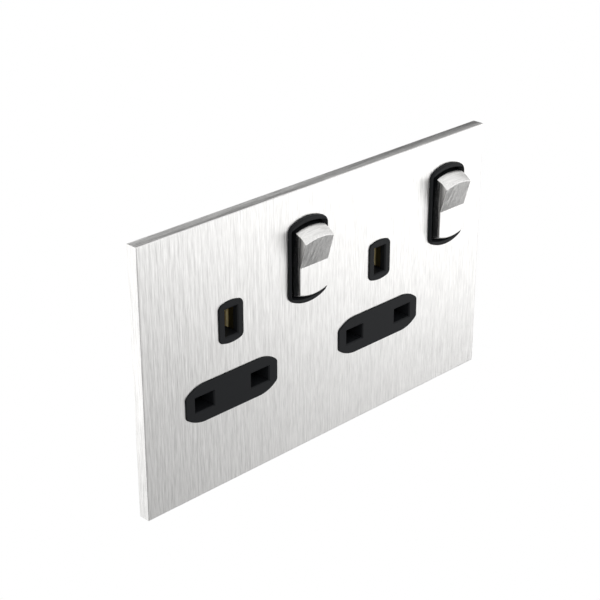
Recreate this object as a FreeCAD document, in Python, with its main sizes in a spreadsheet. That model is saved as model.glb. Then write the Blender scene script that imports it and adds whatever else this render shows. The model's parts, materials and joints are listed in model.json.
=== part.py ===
import FreeCAD, Part
import math
import os
from types import SimpleNamespace

import Sketcher

# Twin switched socket outlet. X runs right along the plate, Y runs into the wall and Z runs up.
# The origin is the middle of the plate on the wall plane, so the front of the plate lies at negative Y.

SIZES = [
    ("plate_width", 146, "front plate across"),
    ("plate_height", 86, "front plate up"),
    ("plate_depth", 4, "front plate from the wall to its face"),
    ("plate_skin", 1.2, "sheet of the front plate"),
    ("plate_edge", 0.3, "rounding round the face of the plate"),
    ("outlet_share", 0.27, "left outlet from the middle, as a share of the plate across"),
    ("pitch_share", 0.4335, "outlet to outlet, as a share of the plate across"),
    ("line_share", 0.1424, "lower pins below the middle, as a share of the plate up"),
    ("pin_pitch", 22.2, "neutral pin to live pin, and those two up to the earth pin"),
    ("slot_width", 7.2, "live and neutral slots across"),
    ("slot_height", 4.8, "live and neutral slots up"),
    ("earth_slot_width", 4.8, "earth slot across"),
    ("earth_slot_height", 8.8, "earth slot up"),
    ("line_boss_width", 36.5, "moulded boss round the two lower slots, across"),
    ("line_boss_height", 12.45, "the same boss, up"),
    ("line_boss_arc", 11, "arc at the ends of that boss"),
    ("line_boss_reach", 7.5, "how far each of those arcs reaches from the end"),
    ("line_boss_corner", 1.3, "corner rounding of that boss"),
    ("earth_boss_width", 9.5, "moulded boss round the earth slot, across"),
    ("earth_boss_height", 13.4, "the same boss, up"),
    ("earth_boss_arc", 11.5, "arc over the ends of the earth boss"),
    ("earth_boss_corner", 1.8, "corner rounding of the earth boss"),
    ("boss_rise", 0.45, "bosses proud of the plate"),
    ("slot_lead", 0.35, "bevel round the mouths of the pin slots"),
    ("boss_edge", 0.2, "rounding round the face of the bosses"),
    ("shift_share", 0.215, "outlet to the switch on its right, as a share of the plate across"),
    ("switch_share", 0.2326, "switch pivots above the middle, as a share of the plate up"),
    ("rim_width", 16.1, "switch surround across"),
    ("rim_height", 27.7, "switch surround up"),
    ("rim_arc", 14.5, "arc over the ends of the surround"),
    ("rim_corner", 3, "corner rounding of the surround"),
    ("rim_rise", 1, "surround proud of the plate"),
    ("rim_edge", 0.4, "rounding round the face of the surround"),
    ("front_gap", 0.12, "gap between the moulding and the plate"),
    ("rocker_width", 11.95, "rocker across"),
    ("rocker_radius", 11.7, "ends of the rocker from the pivot"),
    ("rocker_arc", 17.5, "arc of those ends across the rocker"),
    ("rocker_face", 5, "each face of the rocker from the pivot"),
    ("rocker_swing", 16, "angle between the two faces, in degrees"),
    ("rocker_edge", 0.3, "rounding round the faces and corners of the rocker"),
    ("rocker_skirt", 1.8, "back edge of the rocker cap ahead of the pivot"),
    ("rocker_skin", 1.25, "metal of the rocker cap at its sides"),
    ("dolly_height", 16.8, "dolly inside the cap, up"),
    ("rocker_gap", 0.3, "rocker to the ends of its opening"),
    ("rocker_side_gap", 0.42, "rocker to the sides of its opening"),
    ("pivot_ahead", 2, "switch pivot ahead of the wall plane"),
    ("axle_radius", 1.5, "stub axles of the rocker"),
    ("axle_span", 14.2, "over the ends of the stub axles"),
    ("axle_fit", 0.06, "stub axle to its seat"),
    ("axle_end", 0.12, "stub axle ends to the housing"),
    ("dolly_step", 0.3, "dolly inside the outline of its cap"),
    ("dolly_back", 1.5, "dolly behind the pivot"),
    ("tube_radius", 2.8, "plunger tube of the dolly"),
    ("tube_reach", 7.5, "end of the tube behind the pivot"),
    ("tube_bore", 1.75, "bore of the tube"),
    ("plunger_radius", 1.65, "plunger and its rounded nose"),
    ("nose_gap", 0.15, "nose of the plunger to the moving contact"),
    ("plunger_length", 7.5, "plunger from end to end"),
    ("plunger_spring_length", 5.4, "spring in the tube"),
    ("plunger_spring_coil", 1.3, "middle of its wire from its axis"),
    ("spring_wire", 0.4, "spring wire across"),
    ("flange_gap", 0.1, "flange of the housing to the plate"),
    ("flange_margin", 3.6, "flange beyond the housing"),
    ("frame_sheet", 1.2, "sheet of the mounting frame"),
    ("frame_inset", 2.3, "mounting frame inside the edges of the plate"),
    ("frame_upstand", 1.3, "edges of the frame that stand ahead of its sheet"),
    ("frame_window_gap", 0.3, "housing to the window of the frame"),
    ("fixing_clear", 0.28, "fixing screw heads to the outlet insert and its mirror image"),
    ("fixing_radius", 1.75, "fixing screw thread"),
    ("fixing_hole", 2.1, "fixing holes in the frame"),
    ("fixing_slot", 1, "length added to the right fixing hole"),
    ("fixing_head", 3.2, "fixing screw head"),
    ("fixing_head_depth", 1.4, "fixing screw head from front to back"),
    ("fixing_length", 25, "fixing screw under its head"),
    ("fixing_neck", 1.95, "plain neck of the fixing screw, which fills the frame"),
    ("fixing_neck_end", 0.4, "that neck past the back of the frame"),
    ("frame_screw_x", 45, "frame screws either side of the middle"),
    ("frame_screw_radius", 1.2, "frame screw thread"),
    ("frame_screw_head", 1.6, "frame screw head"),
    ("frame_screw_sink", 0.9, "frame screw head from front to back"),
    ("screw_fit", 0.04, "screw to its hole"),
    ("snap_x", 40, "snaps either side of the middle"),
    ("snap_width", 8, "each snap across"),
    ("snap_nose", 0.9, "snaps stand in from the clip frame"),
    ("snap_low", 0.3, "back of a snap ahead of the frame"),
    ("snap_high", 1, "front of a snap ahead of the frame"),
    ("snap_slope", 0.3, "slope at the back of a snap"),
    ("snap_gap", 0.2, "clip frame to the pieces round it"),
    ("pry_width", 9, "notch under the plate across"),
    ("pry_depth", 1.5, "notch under the plate from the wall"),
    ("left_wall", 2.68, "left side of the housing to the left outlet insert"),
    ("right_wall", 0.889, "right side of the housing to the right switch surround"),
    ("under_margin", 10, "lower edge of the plate to the housing"),
    ("top_margin", 8.6, "upper edge of the plate to the housing"),
    ("lug_reach", 3.7, "housing cut back this far inside the fixing screws"),
    ("body_corner", 2.5, "corners of the housing"),
    ("lug_z", 5.6, "half height of those cuts"),
    ("shell_wall", 2, "walls of the housing"),
    ("front_inside", 1, "back of the front wall behind the wall plane"),
    ("split_y", 8, "front moulding meets the rear cover"),
    ("floor_y", 19.8, "inside of the rear cover"),
    ("floor_sheet", 2.2, "floor of the rear cover"),
    ("insert_half", 17.4, "half width of the block of an outlet insert"),
    ("insert_drop", 5.15, "that block below the lower pins"),
    ("insert_rise", 6.45, "that block above the earth pin"),
    ("insert_fit", 0.05, "that block to its window in the housing"),
    ("earth_skin", 2, "front wall ahead of the earth contacts"),
    ("earth_pocket", 7.4, "pocket for the earth contacts across"),
    ("strip", 0.8, "brass strip"),
    ("clip_gap", 0.6, "live and neutral clips behind the shutters"),
    ("clip_mouth", 5.8, "mouth of those clips ahead of their strip"),
    ("clip_throat", 3.6, "throat of those clips ahead of their strip"),
    ("clip_flare", 2.75, "half opening at the mouth"),
    ("clip_grip", 1.85, "half opening at the throat"),
    ("clip_root", 2.2, "half opening at the strip"),
    ("clip_width", 6.4, "clips across the pin"),
    ("earth_mouth_y", -2.35, "mouth of the earth contacts"),
    ("earth_bend_y", 1.2, "end of the wide part of their mouth"),
    ("earth_throat_y", 5, "throat of the earth contacts"),
    ("earth_bend", 2.3, "half opening at the bend"),
    ("earth_clip_height", 8.2, "earth contacts up"),
    ("bar_drop", 4.4, "neutral bar below the pins"),
    ("bar_height", 2.8, "neutral bar up"),
    ("arm_half", 1.6, "half height of the arms of the live contacts"),
    ("riser_width", 3.4, "risers of the live contacts"),
    ("arm_past", 2, "those arms past the middle of the switch"),
    ("live_bar_y", 10.6, "front of the live bar"),
    ("live_bar_half", 1.6, "half height of the live bar"),
    ("live_bar_past", 3, "live bar past the middle of the switches"),
    ("ridge_rise", 0.5, "fulcrum ridges on the live bar"),
    ("ridge_half", 0.7, "half height of those ridges"),
    ("ridge_gap", 0.1, "ridge to the axis of the moving contact"),
    ("blade_gap", 0.05, "moving contact ahead of its axis"),
    ("blade_half", 7, "half length of the moving contact"),
    ("blade_width", 4.4, "moving contact across"),
    ("blade_tilt", 6, "moving contact off upright, in degrees"),
    ("blade_notch", 0.7, "notches at the waist of the moving contact"),
    ("tip_up", 5.4, "contact tips above the switch pivot"),
    ("tip_radius", 1.4, "contact tips"),
    ("moving_tip", 1, "moving contact tip from front to back"),
    ("tip_gap", 0.04, "clearance between closed contact tips"),
    ("earth_bar_half", 1.6, "half height of the earth bar"),
    ("earth_leg_left", -4, "left edge of the leg of the earth bar"),
    ("earth_leg_right", 2, "right edge of that leg"),
    ("terminal_width", 9, "terminals across"),
    ("terminal_height", 8, "terminals up"),
    ("terminal_depth", 10, "terminals from front to back"),
    ("tunnel_radius", 2.6, "wire holes in the terminals"),
    ("tunnel_length", 8.5, "depth of the wire holes"),
    ("tunnel_set", 5.6, "wire holes ahead of the floor of the rear cover"),
    ("neutral_terminal_x", -19, "neutral terminal"),
    ("earth_terminal_a", -6.5, "left earth terminal"),
    ("earth_terminal_b", 4.5, "right earth terminal"),
    ("live_terminal_x", 23.9, "live terminal"),
    ("terminal_fit", 0.1, "terminals to their windows in the rear cover"),
    ("terminal_recess", 0.3, "mouths of the terminals in from the outside of the case"),
    ("clamp_radius", 2, "terminal screw thread"),
    ("clamp_head", 2.8, "terminal screw head"),
    ("clamp_head_depth", 1.8, "terminal screw head from front to back"),
    ("clamp_access", 3.3, "holes over the terminal screws"),
    ("case_screw_radius", 1.3, "case screw thread"),
    ("case_screw_head", 2.3, "case screw head"),
    ("case_screw_sink", 1.5, "case screw head from front to back"),
    ("case_screw_length", 15.5, "case screw under its head"),
    ("case_post", 2.7, "posts round the case screws"),
    ("case_inset", 4.3, "case screws in from the sides of the case"),
    ("case_middle", 10, "case screw between the left switch and the live terminal"),
    ("shutter_half", 14.95, "half width of a shutter"),
    ("shutter_low", 2.7, "foot of a shutter below the pins"),
    ("shutter_high", 3.8, "top of a shutter above the pins"),
    ("shutter_front", 1.3, "front of a shutter"),
    ("shutter_back", 7.6, "back of a shutter"),
    ("shutter_web", 2, "web of a shutter"),
    ("ramp_width", 7.7, "each ramp of a shutter across"),
    ("ramp_top", 1, "flat above each ramp"),
    ("shutter_gap", 0.3, "shutter to its guides"),
    ("guide_width", 1.4, "guides of the shutters"),
    ("shutter_travel", 5.6, "how far a shutter rises"),
    ("perch_half", 3.2, "half width of the spring seats"),
    ("perch_height", 2, "spring seat of the shutter"),
    ("spigot_radius", 1.3, "spigots inside the shutter springs"),
    ("spigot_height", 2.2, "those spigots up"),
    ("shutter_spring_y", 4.6, "axis of the shutter springs"),
    ("shutter_spring_coil", 1.9, "middle of their wire from their axis"),
    ("ledge_rise", 15.65, "ledge above the shutter springs, from the pins"),
    ("spring_ledge", 1.6, "that ledge up"),
    ("rest_half", 1.5, "half width of the posts under the strips"),
    ("bite", 0.1, "overlap where one feature grows out of another"),
]

document = FreeCAD.newDocument("twin_socket")
sheet = document.addObject("Spreadsheet::Sheet", "Sizes")
for row, (alias, value, note) in enumerate(SIZES, start=1):
    sheet.set(f"A{row}", alias)
    sheet.set(f"B{row}", str(value))
    sheet.set(f"C{row}", note)
    sheet.setAlias(f"B{row}", alias)
document.recompute()


class Size:
    """A length drawn from the sheet: the expression that gives it and its present value."""

    def __init__(self, text, value):
        self.text = text
        self.value = value

    def joined(self, sign, other, value):
        return Size(f"({self.text} {sign} {other.text})", value)

    def __add__(self, other):
        other = as_size(other)
        return self.joined("+", other, self.value + other.value)

    def __sub__(self, other):
        other = as_size(other)
        return self.joined("-", other, self.value - other.value)

    def __mul__(self, other):
        other = as_size(other)
        return self.joined("*", other, self.value * other.value)

    def __truediv__(self, other):
        other = as_size(other)
        return self.joined("/", other, self.value / other.value)

    def __neg__(self):
        return Size(f"(0 - {self.text})", -self.value)


def as_size(value):
    return value if isinstance(value, Size) else Size(str(value), float(value))


def tangent_of(degrees):
    return Size(f"tan({degrees.text} * 1 deg)", math.tan(math.radians(degrees.value)))


def sine_of(degrees):
    return Size(f"sin({degrees.text} * 1 deg)", math.sin(math.radians(degrees.value)))


def cosine_of(degrees):
    return Size(f"cos({degrees.text} * 1 deg)", math.cos(math.radians(degrees.value)))


def bind(thing, name, size):
    thing.setExpression(name, as_size(size).text)


d = SimpleNamespace(**{alias: Size(f"Sizes.{alias}", float(sheet.get(alias))) for alias, _, _ in SIZES})

QUARTER_TURN = 90
TOWARDS_FRONT = "XZ_Plane"
ACROSS = "YZ_Plane"
UPWARD = "XY_Plane"


class Outline:
    """A sketch parallel to one origin plane of a body, every point tied to the sheet."""

    def __init__(self, body, name, plane, offset):
        self.sketch = body.newObject("Sketcher::SketchObject", name)
        support = next(piece for piece in body.Origin.OriginFeatures if piece.Role == plane)
        self.sketch.AttachmentSupport = [(support, "")]
        self.sketch.MapMode = "FlatFace"
        bind(self.sketch, "AttachmentOffset.Base.z", offset)

    def tie(self, kind, *place, size):
        index = self.sketch.addConstraint(Sketcher.Constraint(kind, *place, as_size(size).value))
        self.sketch.renameConstraint(index, f"tie_{index}")
        bind(self.sketch, f"Constraints.tie_{index}", size)

    def locate(self, shape, point, across, up):
        self.tie("DistanceX", -1, 1, shape, point, size=across)
        self.tie("DistanceY", -1, 1, shape, point, size=up)

    def polygon(self, points):
        points = [(as_size(across), as_size(up)) for across, up in points]
        spots = [FreeCAD.Vector(across.value, up.value, 0) for across, up in points]
        lines = [
            self.sketch.addGeometry(Part.LineSegment(spot, spots[(number + 1) % len(spots)]))
            for number, spot in enumerate(spots)
        ]
        for number, line in enumerate(lines):
            self.sketch.addConstraint(
                Sketcher.Constraint("Coincident", line, 2, lines[(number + 1) % len(lines)], 1)
            )
        for line, (across, up) in zip(lines, points):
            self.locate(line, 1, across, up)

    def box(self, left, right, low, high):
        self.polygon([(left, low), (right, low), (right, high), (left, high)])

    def centred_box(self, across, up, width, height):
        self.box(across - width / 2, across + width / 2, up - height / 2, up + height / 2)

    def circle(self, across, up, radius):
        across = as_size(across)
        up = as_size(up)
        centre = FreeCAD.Vector(across.value, up.value, 0)
        ring = self.sketch.addGeometry(Part.Circle(centre, FreeCAD.Vector(0, 0, 1), as_size(radius).value))
        self.locate(ring, 3, across, up)
        self.tie("Radius", ring, size=radius)

    def arc(self, across, up, radius, first, last):
        centre = FreeCAD.Vector(across, up, 0)
        ring = Part.Circle(centre, FreeCAD.Vector(0, 0, 1), radius)
        return self.sketch.addGeometry(Part.ArcOfCircle(ring, first, last))

    def line(self, first, last):
        return self.sketch.addGeometry(Part.LineSegment(FreeCAD.Vector(*first, 0), FreeCAD.Vector(*last, 0)))

    def blend(self, pieces):
        for number, piece in enumerate(pieces):
            following = pieces[(number + 1) % len(pieces)]
            self.sketch.addConstraint(Sketcher.Constraint("Tangent", piece, 2, following, 1))

    def capsule(self, across, up, length, radius):
        """A level slot with half-round ends, whose straight sides have the given length."""
        across = as_size(across)
        up = as_size(up)
        half = length / 2
        quarter = math.pi / 2
        x, z, r = across.value, up.value, radius.value
        right = self.arc(x + half.value, z, r, -quarter, quarter)
        top = self.line((x + half.value, z + r), (x - half.value, z + r))
        left = self.arc(x - half.value, z, r, quarter, 3 * quarter)
        low = self.line((x - half.value, z - r), (x + half.value, z - r))
        self.blend([right, top, left, low])
        for piece, place in ((right, across + half), (left, across - half)):
            self.tie("Radius", piece, size=radius)
            self.locate(piece, 3, place, up)

    def rounded(self, across, up, width, height, radius, reach, corner):
        """A boss with straight sides, arcs at its ends and rounded corners.

        Each end arc reaches in from the side. Where two of them meet in the middle they are one arc.
        """
        across = as_size(across)
        up = as_size(up)
        half = width / 2
        tall = height / 2
        inset = half - reach
        single = abs(inset.value) < 1e-6
        rise = tall - radius
        run = reach.value - corner.value
        climb = math.sqrt((radius.value - corner.value) ** 2 - run**2)
        turn = math.atan2(climb, run)
        side = rise.value + climb
        quarter = math.pi / 2
        x, z = across.value, up.value
        right = x + half.value
        left = x - half.value

        def corner_arc(sign_x, sign_z, first, last):
            return self.arc(
                x + sign_x * (half.value - corner.value), z + sign_z * side, corner.value, first, last
            )

        def end_arc(sign_x, sign_z, first, last):
            return self.arc(x + sign_x * inset.value, z + sign_z * rise.value, radius.value, first, last)

        pieces = []
        corners = []
        ends = []

        def note(piece, group=None):
            pieces.append(piece)
            if group is not None:
                group.append(piece)
            return piece

        right_side = note(self.line((right, z - side), (right, z + side)))
        note(corner_arc(1, 1, 0, turn), corners)
        if single:
            ends.append((note(end_arc(0, 1, turn, math.pi - turn)), 0, 1))
        else:
            ends.append((note(end_arc(1, 1, turn, quarter)), 1, 1))
            note(self.line((x + inset.value, z + tall.value), (x - inset.value, z + tall.value)))
            ends.append((note(end_arc(-1, 1, quarter, math.pi - turn)), -1, 1))
        note(corner_arc(-1, 1, math.pi - turn, math.pi), corners)
        left_side = note(self.line((left, z + side), (left, z - side)))
        note(corner_arc(-1, -1, math.pi, math.pi + turn), corners)
        if single:
            ends.append((note(end_arc(0, -1, math.pi + turn, 2 * math.pi - turn)), 0, -1))
        else:
            ends.append((note(end_arc(-1, -1, math.pi + turn, 3 * quarter)), -1, -1))
            note(self.line((x - inset.value, z - tall.value), (x + inset.value, z - tall.value)))
            ends.append((note(end_arc(1, -1, 3 * quarter, 2 * math.pi - turn)), 1, -1))
        note(corner_arc(1, -1, 2 * math.pi - turn, 2 * math.pi), corners)

        self.blend(pieces)
        for piece in corners:
            self.tie("Radius", piece, size=corner)
        for piece, sign_x, sign_z in ends:
            self.tie("Radius", piece, size=radius)
            self.locate(piece, 3, across + inset * sign_x, up + rise * sign_z)
        for piece, place in ((right_side, across + half), (left_side, across - half)):
            self.sketch.addConstraint(Sketcher.Constraint("Vertical", piece))
            self.tie("DistanceX", -1, 1, piece, 1, size=place)


def new_body(name):
    body = document.addObject("PartDesign::Body", name)
    body.Label = name
    return body


def shape_along(kind, body, name, plane, start, length, draw, backwards):
    outline = Outline(body, f"{name}_outline", plane, start)
    draw(outline)
    feature = body.newObject(kind, name)
    feature.Profile = outline.sketch
    bind(feature, "Length", length)
    feature.Reversed = backwards
    document.recompute()
    return feature


def grow(body, name, plane, start, length, draw):
    """Adds material from start, along the plane's own direction."""
    return shape_along("PartDesign::Pad", body, name, plane, start, length, draw, False)


def carve(body, name, plane, start, length, draw):
    """Takes material away from start, along the plane's own direction."""
    return shape_along("PartDesign::Pocket", body, name, plane, start, length, draw, True)


def slab(body, name, front, back, draw):
    """Adds material between two depths, front and back given as Y."""
    back = as_size(back)
    return grow(body, name, TOWARDS_FRONT, -back, back - front, draw)


def hollow(body, name, front, back, draw):
    """Takes material away between two depths, front and back given as Y."""
    back = as_size(back)
    return carve(body, name, TOWARDS_FRONT, -back, back - front, draw)


def repeat_across(body, name, feature, pitch, axis="H_Axis"):
    pattern = body.newObject("PartDesign::LinearPattern", name)
    pattern.Originals = [feature]
    pattern.Direction = (feature.Profile[0], [axis])
    bind(pattern, "Length", pitch)
    pattern.Occurrences = 2
    body.Tip = pattern
    document.recompute()
    return pattern


def ease_edges(kind, measure, body, name, size, wanted):
    base = body.Tip
    names = [f"Edge{number}" for number, edge in enumerate(base.Shape.Edges, start=1) if wanted(edge)]
    feature = body.newObject(kind, name)
    feature.Base = (base, names)
    bind(feature, measure, size)
    document.recompute()
    return feature


def round_edges(body, name, radius, wanted):
    return ease_edges("PartDesign::Fillet", "Radius", body, name, radius, wanted)


def bevel_edges(body, name, size, wanted):
    return ease_edges("PartDesign::Chamfer", "Size", body, name, size, wanted)


def lies_at(edge, depth):
    return all(abs(vertex.Y - depth) < 1e-4 for vertex in edge.Vertexes)


d.outlet_x = -d.plate_width * d.outlet_share
d.outlet_pitch = d.plate_width * d.pitch_share
d.line_z = -d.plate_height * d.line_share
d.switch_shift = d.plate_width * d.shift_share
d.switch_z = d.plate_height * d.switch_share
inner_width = d.plate_width - d.plate_skin * 2
inner_height = d.plate_height - d.plate_skin * 2
d.frame_width = inner_width - d.frame_inset * 2
d.frame_height = inner_height - d.frame_inset * 2
d.body_left = d.outlet_x - d.insert_half - d.left_wall
d.body_right = d.outlet_x + d.outlet_pitch + d.switch_shift + d.rim_width / 2 + d.right_wall
d.body_bottom = d.under_margin - d.plate_height / 2
d.body_top = d.plate_height / 2 - d.top_margin
d.fixing_pitch = (d.insert_half + d.fixing_clear + d.fixing_head - d.outlet_x) * 2
d.lug_x = d.fixing_pitch / 2 - d.lug_reach
d.clip_y = d.shutter_back + d.clip_gap + d.clip_mouth
d.neutral_bar_high = d.line_z - d.bar_drop
d.neutral_bar_low = d.neutral_bar_high - d.bar_height
d.arm_low = d.switch_z + d.tip_up - d.arm_half
d.arm_high = d.switch_z + d.tip_up + d.arm_half
d.blade_y = d.live_bar_y - d.ridge_rise - d.ridge_gap
blade_back = d.blade_y - d.blade_gap
d.fixed_tip_y = blade_back + d.moving_tip + (d.tip_up + d.tip_radius) * sine_of(d.blade_tilt) + d.tip_gap
d.plunger_reach = blade_back - d.strip - d.nose_gap + d.pivot_ahead
d.tunnel_y = d.floor_y - d.tunnel_set
d.spring_ledge_z = d.line_z + d.ledge_rise
case_right = d.body_right - d.case_inset
case_left = d.body_left + d.case_inset
case_upper = d.body_top - d.case_inset
case_lower = d.body_bottom + d.case_inset


def outlet(number):
    return d.outlet_x + d.outlet_pitch * number


def switch(number):
    return outlet(number) + d.switch_shift


face_y = -d.plate_depth
skin_y = d.plate_skin - d.plate_depth
flange_y = skin_y + d.flange_gap
sheet_y = -d.frame_sheet
back_y = d.floor_y + d.floor_sheet
earth_z = d.line_z + d.pin_pitch
half_pins = d.pin_pitch / 2
opening_width = d.rocker_width + d.rocker_side_gap * 2
opening_height = (d.rocker_radius + d.rocker_gap) * 2
opening_arc = d.rocker_arc + d.rocker_gap
strip_back_y = d.clip_y + d.strip
flange_top = d.body_top + d.flange_margin
flange_bottom = d.body_bottom - d.flange_margin
pieces = []


def finished(piece):
    pieces.append(piece)
    return piece


def boss_outlines(outline, x, gap):
    """The three openings of one outlet, or with no gap the three mouldings that fill them."""
    twice = as_size(gap) * 2
    line_boss(outline, x, gap)
    earth_boss(outline, x, gap)
    rim = d.rim_width + twice
    outline.rounded(
        x + d.switch_shift, d.switch_z, rim, d.rim_height + twice, d.rim_arc + gap, rim / 2, d.rim_corner + gap
    )


def line_boss(outline, x, gap):
    twice = as_size(gap) * 2
    outline.rounded(
        x,
        d.line_z,
        d.line_boss_width + twice,
        d.line_boss_height + twice,
        d.line_boss_arc + gap,
        d.line_boss_reach + gap,
        d.line_boss_corner + gap,
    )


def earth_boss(outline, x, gap):
    twice = as_size(gap) * 2
    wide = d.earth_boss_width + twice
    tall = d.earth_boss_height + twice
    outline.rounded(x, earth_z, wide, tall, d.earth_boss_arc + gap, wide / 2, d.earth_boss_corner + gap)


def notched(outline, grown, lug):
    """The outline of the housing, grown by a margin and cut back at the two box lugs."""
    left = d.body_left - grown
    right = d.body_right + grown
    low = d.body_bottom - grown
    high = d.body_top + grown
    across = d.lug_x + lug
    up = d.lug_z - lug
    outline.polygon(
        [
            (right, low),
            (right, -up),
            (across, -up),
            (across, up),
            (right, up),
            (right, high),
            (left, high),
            (left, up),
            (-across, up),
            (-across, -up),
            (left, -up),
            (left, low),
        ]
    )


# Front plate: a brushed steel pan with its edges turned back to the wall.
front_plate = new_body("front_plate")
slab(
    front_plate,
    "plate_blank",
    face_y,
    0,
    lambda o: o.centred_box(as_size(0), as_size(0), d.plate_width, d.plate_height),
)
hollow(
    front_plate,
    "plate_pan",
    skin_y,
    0,
    lambda o: o.centred_box(as_size(0), as_size(0), inner_width, inner_height),
)
apertures = hollow(
    front_plate, "plate_apertures", face_y, 0, lambda o: boss_outlines(o, d.outlet_x, d.front_gap)
)
repeat_across(front_plate, "plate_apertures_both", apertures, d.outlet_pitch)
hollow(
    front_plate,
    "pry_notch",
    -d.pry_depth,
    0,
    lambda o: o.box(-d.pry_width / 2, d.pry_width / 2, -d.plate_height / 2 - d.bite, -inner_height / 2 + d.bite),
)
half_width = d.plate_width.value / 2
half_height = d.plate_height.value / 2


def on_plate_rim(edge):
    at_side = all(abs(abs(vertex.X) - half_width) < 1e-4 for vertex in edge.Vertexes)
    at_end = all(abs(abs(vertex.Z) - half_height) < 1e-4 for vertex in edge.Vertexes)
    return lies_at(edge, face_y.value) and (at_side or at_end)


round_edges(front_plate, "plate_rounding", d.plate_edge, on_plate_rim)
finished(front_plate)

# Clip frame: a moulded ring bonded inside the plate, with four snaps.
clip_frame = new_body("clip_frame")
ring_inner_width = d.frame_width + d.snap_gap * 2
ring_inner_height = d.frame_height + d.snap_gap * 2


def clip_ring(outline):
    middle = as_size(0)
    outline.centred_box(middle, middle, inner_width - d.snap_gap, inner_height - d.snap_gap)
    outline.centred_box(middle, middle, ring_inner_width, ring_inner_height)


slab(clip_frame, "clip_ring", skin_y, -d.snap_gap, clip_ring)
snap_front = sheet_y - d.snap_high
snap_back = sheet_y - d.snap_low


def snap_noses(outline):
    for sign in (1, -1):
        root = ring_inner_height / 2 + d.bite
        nose = ring_inner_height / 2 - d.snap_nose
        outline.polygon(
            [
                (snap_front, root * sign),
                (snap_front, nose * sign),
                (snap_back - d.snap_slope, nose * sign),
                (snap_back, root * sign),
            ]
        )


snaps = grow(clip_frame, "snap_noses", ACROSS, -d.snap_x - d.snap_width / 2, d.snap_width, snap_noses)
repeat_across(clip_frame, "snap_noses_both", snaps, d.snap_x * 2, "N_Axis")
finished(clip_frame)

# Mounting frame: a pressed steel frame screwed to the wall box, with edges that take the snaps.
mounting_frame = new_body("mounting_frame")
slab(
    mounting_frame,
    "frame_blank",
    sheet_y,
    0,
    lambda o: o.centred_box(as_size(0), as_size(0), d.frame_width, d.frame_height),
)


def frame_edges(outline):
    for sign in (1, -1):
        edge = d.frame_height / 2 * sign
        outline.box(-d.frame_width / 2, d.frame_width / 2, edge, edge - d.frame_sheet * sign)


slab(mounting_frame, "frame_edges", sheet_y - d.frame_upstand, sheet_y, frame_edges)
hollow(
    mounting_frame,
    "frame_window",
    sheet_y,
    0,
    lambda o: notched(o, d.frame_window_gap, d.frame_window_gap),
)
snap_window = carve(
    mounting_frame,
    "snap_windows",
    UPWARD,
    -d.frame_height / 2 - d.bite,
    d.frame_height + d.bite * 2,
    lambda o: o.box(
        -d.snap_x - d.snap_width / 2 - d.snap_gap,
        -d.snap_x + d.snap_width / 2 + d.snap_gap,
        snap_front - d.snap_gap / 2,
        snap_back + d.snap_gap / 2,
    ),
)
repeat_across(mounting_frame, "snap_windows_both", snap_window, d.snap_x * 2)


fixing_half = d.fixing_pitch / 2
hollow(
    mounting_frame,
    "fixing_slot",
    sheet_y,
    0,
    lambda o: o.capsule(fixing_half, 0, d.fixing_slot, d.fixing_hole),
)
hollow(
    mounting_frame,
    "fixing_hole",
    sheet_y,
    0,
    lambda o: o.circle(-fixing_half, 0, d.fixing_hole),
)
frame_screw_spots = [
    (d.frame_screw_x * sign, height)
    for height in (flange_top - d.flange_margin / 2, flange_bottom + d.flange_margin / 2)
    for sign in (1, -1)
]


def circles(outline, spots, radius):
    for across, up in spots:
        outline.circle(across, up, radius)


hollow(
    mounting_frame,
    "frame_screw_holes",
    sheet_y,
    0,
    lambda o: circles(o, frame_screw_spots, d.frame_screw_radius + d.screw_fit),
)
finished(mounting_frame)

# Front housing: one moulding with the bosses, the switch surrounds and the guides of the shutters.
case_spots = [
    (case_left, case_upper),
    (d.case_middle, case_upper),
    (case_left, case_lower),
    (case_right, case_lower),
]
front_housing = new_body("front_housing")


def at_case_corner(edge):
    """The upright corners of the case, where its sides meet its top and underside."""
    ends = edge.Vertexes
    if len(ends) != 2 or abs(ends[0].Y - ends[1].Y) < 1:
        return False
    beside = min(abs(ends[0].X - d.body_left.value), abs(ends[0].X - d.body_right.value)) < 1e-4
    above = min(abs(ends[0].Z - d.body_bottom.value), abs(ends[0].Z - d.body_top.value)) < 1e-4
    return beside and above


slab(front_housing, "housing_flange", flange_y, sheet_y, lambda o: notched(o, d.flange_margin, 0))
slab(front_housing, "housing_block", sheet_y, d.split_y, lambda o: notched(o, 0, 0))
round_edges(front_housing, "housing_corners", d.body_corner, at_case_corner)
hollow(
    front_housing,
    "housing_inside",
    d.front_inside,
    d.split_y,
    lambda o: notched(o, -d.shell_wall, -d.shell_wall),
)


boss_y = face_y - d.boss_rise
rim_y = face_y - d.rim_rise
rims = slab(
    front_housing,
    "switch_rims",
    rim_y,
    flange_y,
    lambda o: o.rounded(
        switch(0), d.switch_z, d.rim_width, d.rim_height, d.rim_arc, d.rim_width / 2, d.rim_corner
    ),
)
repeat_across(front_housing, "switch_rims_both", rims, d.outlet_pitch)
round_edges(front_housing, "rim_rounding", d.rim_edge, lambda edge: lies_at(edge, rim_y.value))


def insert_block(outline, x, fit):
    """The block behind one outlet's bosses, or with a fit the window that takes it."""
    half = d.insert_half + fit
    outline.box(x - half, x + half, d.line_z - d.insert_drop - fit, earth_z + d.insert_rise + fit)


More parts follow.
